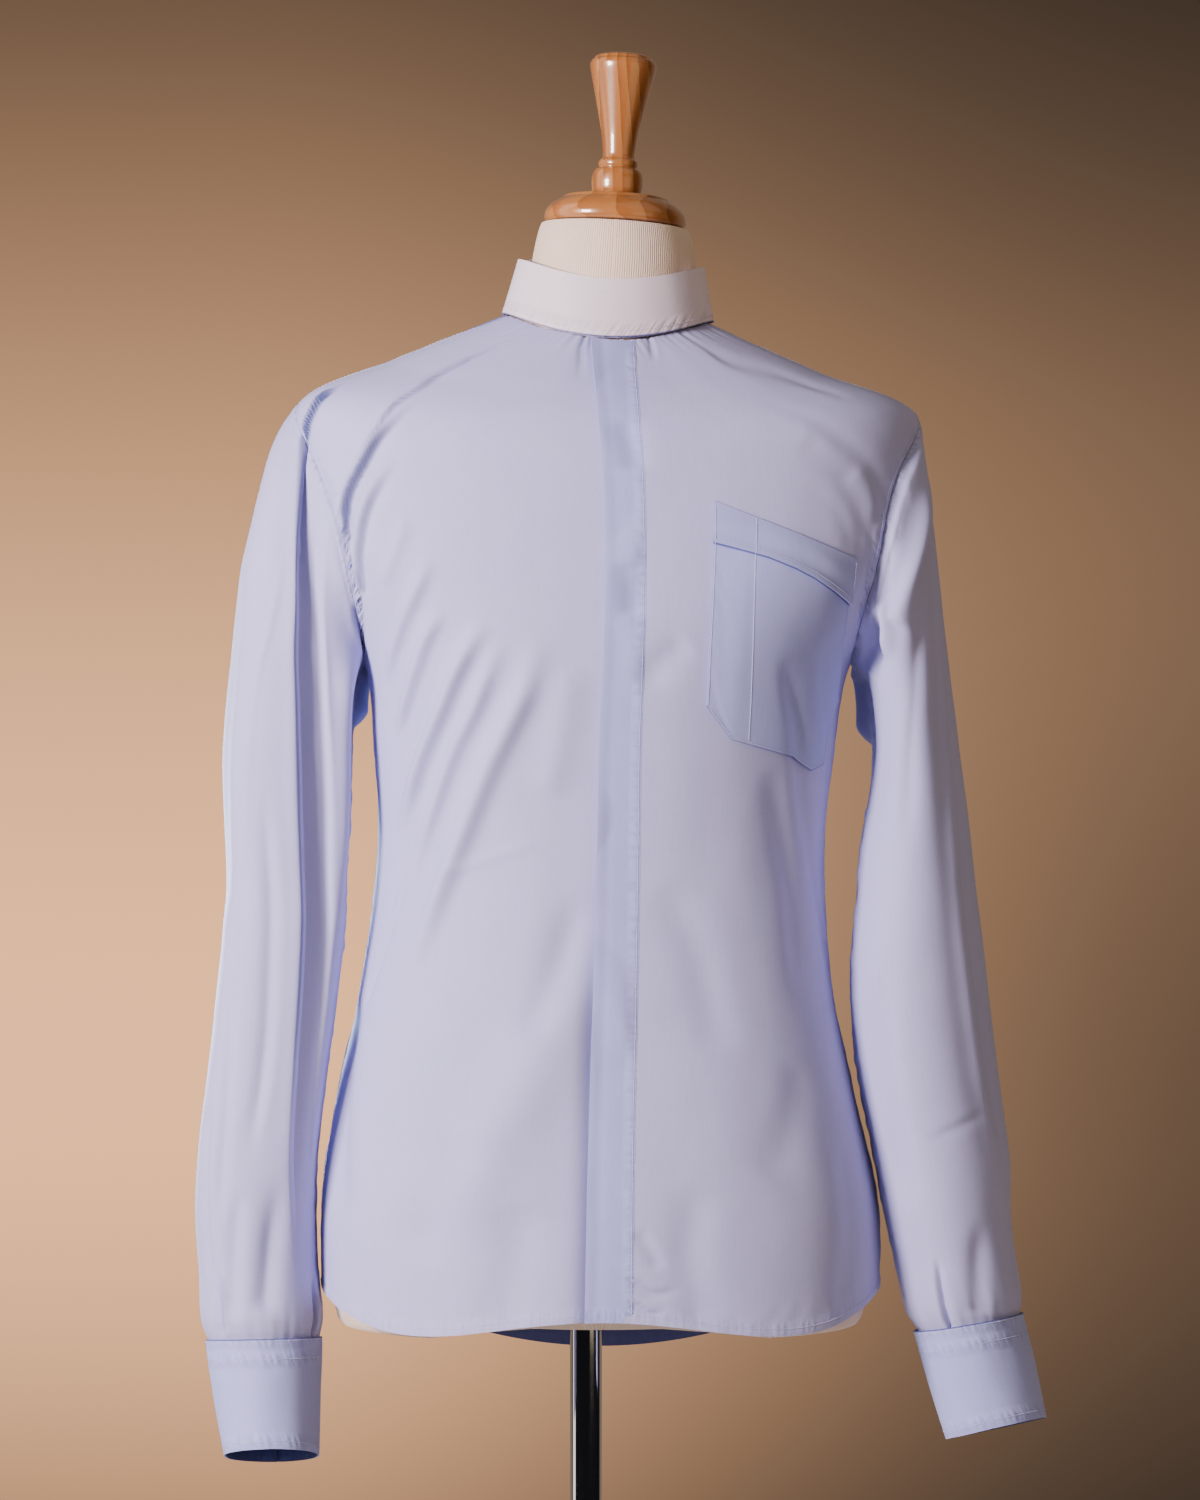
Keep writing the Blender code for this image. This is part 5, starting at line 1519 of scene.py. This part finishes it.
def makeButton(name, point, way, node):
    r, h, apart = button["radius"], button["height"], button["apart"]
    profile = ((0.0, 0.0), (r * 0.82, 0.0), (r * 0.97, h * 0.30), (r, h * 0.55), (r * 0.96, h * 0.85), (r * 0.86, h),
               (r * 0.74, h * 0.96), (r * 0.62, h * 0.72), (r * 0.30, h * 0.66), (0.0, h * 0.66))
    disc = newPiece(name, spun(softened(profile, 1), button["steps"]), pearl, 40)
    drills = bmesh.new()
    for x, y in ((1, 1), (1, -1), (-1, 1), (-1, -1)):
        bmesh.ops.create_cone(
            drills, cap_ends=True, segments=16, radius1=button["hole"], radius2=button["hole"], depth=2 * h,
            matrix=Matrix.Translation((x * apart, y * apart, h / 2)),
        )
    drill = newPiece(name + "_drill", drills, pearl)
    cut = disc.modifiers.new("holes", "BOOLEAN")
    cut.operation, cut.object, cut.solver = "DIFFERENCE", drill, "EXACT"
    whole = bpy.data.meshes.new_from_object(disc.evaluated_get(bpy.context.evaluated_depsgraph_get()))
    disc.modifiers.clear()
    disc.data = whole
    bpy.data.objects.remove(drill, do_unlink=True)
    stood = stoodOn(point, way, button["spin"])
    whole.transform(stood)
    settle(disc, (node,), "button")
    thread = bmesh.new()
    thread.loops.layers.uv.new("cloth")
    for x in (1, -1):
        start, end = (stood @ Vector((s * x * apart, s * apart, h * 0.70)) for s in (-1, 1))
        addRod(thread, (start + end) / 2, end - start, (end - start).length, button["thread"], 8)
    return settle(newPiece(name + "_thread", thread, threadBlue), (), "shirt_blue")


for side, sheet in cuffs.items():
    share = (cuff["buttonAt"] + 360 - cuff["lapStart"]) / cuff["lapRound"]
    point, way = sheet.at(share if side == "right" else 1 - share, button["up"])
    makeButton("button_" + side, point + way * button["clear"], way, "cuff_button_" + side)

studPoint, studWay = collar.at((180 + neck["lap"] / 8 + 180) / (360 + neck["lap"] / 2), studHigh)
stud = turnPiece(
    "stud_domed", softened(studProfile, 2), brass, steps=button["steps"], cleared=("collar_stud",), slotName="stud",
)
stud.data.transform(stoodOn(studPoint, studWay))
print("buttons and stud made")


# rows of stitches: the edge that they follow, how far from it, and the shares between which they run

sewn = {
    frontRight: [("bottom", hem["stitch"], 0.02, 0.90), ("left", hem["stitch"], 0.01, 0.98)],
    frontLeft: [("bottom", hem["stitch"], 0.10, 0.98), ("right", hem["stitch"], 0.01, 0.98)],
    back: [("bottom", hem["stitch"], 0.02, 0.98)],
    yoke: [("bottom", 0.0018, 0.01, 0.99)],
    placket: [("right", fly["stitch"], 0.01, 0.99)],
    bag: [(edge, pocket["seam"], 0.02, end) for edge, end in (("left", 0.94), ("right", 0.94), ("bottom", 0.98))],
    band: [(edge, inset, start, 1 - start) for edge, inset, start in pocket["bandSeams"]],
    collar: [("bottom", neck["collarStitch"], 0.01, 0.99)],
}
for side in sleeveRows:
    sewn[cuffs[side]] = [(edge, inset, 0.01, 0.99) for edge, inset in cuff["stitches"]]
    sewn[sleevePlackets[side]] = [(edge, opening["stitch"], 0.02, 0.96) for edge in ("left", "right")]

threads = {}
slotSteps = 60
for sheet, rowsOf in sewn.items():
    lines = [sheet.beside(*row) for row in rowsOf]
    if sheet in (bag, band):
        shares = [mix(0.02, 0.98, i / slotSteps) for i in range(slotSteps + 1)]
        lines.append([sheet.at(pocket["penSlot"], share) for share in shares])
    name = sheet.piece.name.replace("_cloth", "_stitches")
    threads[sheet] = sewThreads(name, lines, "collarThread" if sheet is collar else "thread")
print("stitches sewn:", sum(len(t.data.polygons) for t in threads.values()), "faces")


# how each sheet is held and what it rests on; the loop below only measures each sheet's area

held = {
    frontRight: "draped", frontLeft: "draped", back: "draped", yoke: "draped",
    placket: "laid", bag: "laid", band: "laid",
    sleeves["right"]: "hung", sleeves["left"]: "hung", cuffs["right"]: "hung", cuffs["left"]: "hung",
    sleevePlackets["right"]: "laid", sleevePlackets["left"]: "laid", neckband: "stretched", collar: "stretched",
}
restsOn = {placket: frontRight, bag: frontLeft, band: bag, collar: neckband}
for side in sleeveRows:
    restsOn[cuffs[side]] = sleeves[side]
    restsOn[sleevePlackets[side]] = sleeves[side]


def clothArea(sheet):
    # half of a thin shell's whole surface
    return sum(face.area for face in sheet.piece.data.polygons) / 2


for sheet, how in held.items():
    area = clothArea(sheet)
    restsOn[sheet].piece if sheet in restsOn else "form_jersey"
    [threads[sheet]] if sheet in threads else []


# camera, light and floor

studio = {
    "camera": {"place": (0.0098, -3.0, 1.0), "seenHeight": 1.05, "distance": 3.0},
    "floor": {"radius": 1.5, "segments": 128, "drop": 0.0005},
    "wall": ((1.0, 0.0), (0.911, -0.667), (0.793, -1.371)),
    "glow": {"bright": 0.50, "below": 0.075, "up": (42.0, 90.0), "down": 95.0, "side": (-0.09, 0.19),
             "loss": (1.18, 1.42)},
    "ambient": ((0.156, 0.186, 0.200), (0.262, 0.200, 0.106)),
    "underfoot": (0.02, 0.02, 0.02),
    "mirrored": ((0.008, 0.008, 0.010), (1.70, 1.60, 1.50), (0.26, 0.19, 0.14)),
}
lamps = {
    # place, aim, size, power and colour; then the beam's spread, and whether gloss mirrors the lamp
    "key": ((-1.62, -1.48, 1.46), (-0.30, 0.0, 1.12), 0.60, 124.0, (1.0, 0.90, 0.83)),
    "fill": ((2.0, -2.0, 1.1), (0.2, 0.0, 0.9), 1.8, 7.5, (1.0, 0.82, 0.57)),
    "edge": ((-1.35, 2.05, 1.0), (-0.22, 0.0, 0.84), 0.30, 0.9, (0.66, 0.82, 1.0), 14.0),
    "back": ((-0.3, 3.2, 1.05), (0.0, 0.0, 0.95), 2.2, 30.0, (0.92, 0.96, 1.0), 180.0, False),
    "top": ((0.9, -0.5, 2.6), (0.1, 0.0, 1.1), 1.6, 3.0, (1.0, 0.88, 0.74)),
}


def addLamp(name, place, aim, size, power, colour, spread=180.0, mirrored=True):
    data = bpy.data.lights.new(name, "AREA")
    data.size, data.energy, data.color, data.spread = size, power, colour, math.radians(spread)
    made = bpy.data.objects.new(name, data)
    made.visible_glossy = mirrored
    made.location = place
    made.rotation_euler = (Vector(aim) - Vector(place)).to_track_quat("-Z", "Y").to_euler()
    bpy.context.scene.collection.objects.link(made)


def addCamera():
    view = studio["camera"]
    data = bpy.data.cameras.new("front")
    data.sensor_fit, data.sensor_width, data.sensor_height = "AUTO", 36.0, 24.0
    data.lens = data.sensor_width * view["distance"] / view["seenHeight"]
    made = bpy.data.objects.new("front", data)
    made.location, made.rotation_euler = view["place"], (math.pi / 2, 0.0, 0.0)
    bpy.context.scene.collection.objects.link(made)
    bpy.context.scene.camera = made


def addFloor():
    disc, mesh = studio["floor"], bmesh.new()
    bmesh.ops.create_circle(
        mesh, cap_ends=True, segments=disc["segments"], radius=disc["radius"],
        matrix=Matrix.Translation((0.0, 0.0, -disc["drop"])),
    )
    floor = newPiece("floor", mesh, floorFinish("paleFloor"))


def addBackground():
    # a graded wall of light that only the camera sees, a dim light for the cloth, and what gloss mirrors
    world = bpy.data.worlds.new("studio")
    bpy.context.scene.world = world
    world.use_nodes = True
    tree = world.node_tree
    way = addNode(tree, "TexCoord", {}, {}, 0)
    across, deep, up = (addNode(tree, "SeparateXYZ", {}, {0: way}, k) for k in range(3))
    # brightest on the left below the middle, falling off upwards and to the right
    glow = studio["glow"]
    height = up + glow["below"]
    above, below = maths("MAXIMUM", height, 0.0), maths("MINIMUM", height, 0.0)
    rise = above * above
    lit = glow["bright"] - rise * glow["up"][0] + rise * rise * glow["up"][1] - below * below * glow["down"]
    loss = faded(across, *glow["side"]) * (glow["loss"][0] + faded(up, 0.10, -0.09) * glow["loss"][1])
    level = lit - loss
    graded = {k: maths("EXPONENT", level * scale + shift) for k, (scale, shift) in enumerate(studio["wall"])}
    wall = addNode(tree, "CombineXYZ", {}, graded)
    seen, glossy = (addNode(tree, "LightPath", {}, {}, k) for k in (0, 3))
    ambient = blendColour(faded(across, -0.3, 0.6), *studio["ambient"])
    ambient = blendColour(faded(up, 0.1, -0.35) * 0.75, ambient, studio["underfoot"])
    dark, lamp, brown = studio["mirrored"]
    strip = faded(deep, -0.20, -0.05) * faded(deep, 0.36, 0.16) * faded(across, -0.5, -0.8)
    reflected = blendColour(strip, blendColour(faded(deep, 0.30, 0.60), dark, brown), lamp)
    colour = blendColour(seen, blendColour(glossy, ambient, reflected), wall)
    plug(tree.nodes["Background"], {"Color": colour, "Strength": 1.0})


addCamera()
for name, lamp in lamps.items():
    addLamp(name, *lamp)
addFloor()
addBackground()
print("studio lit")
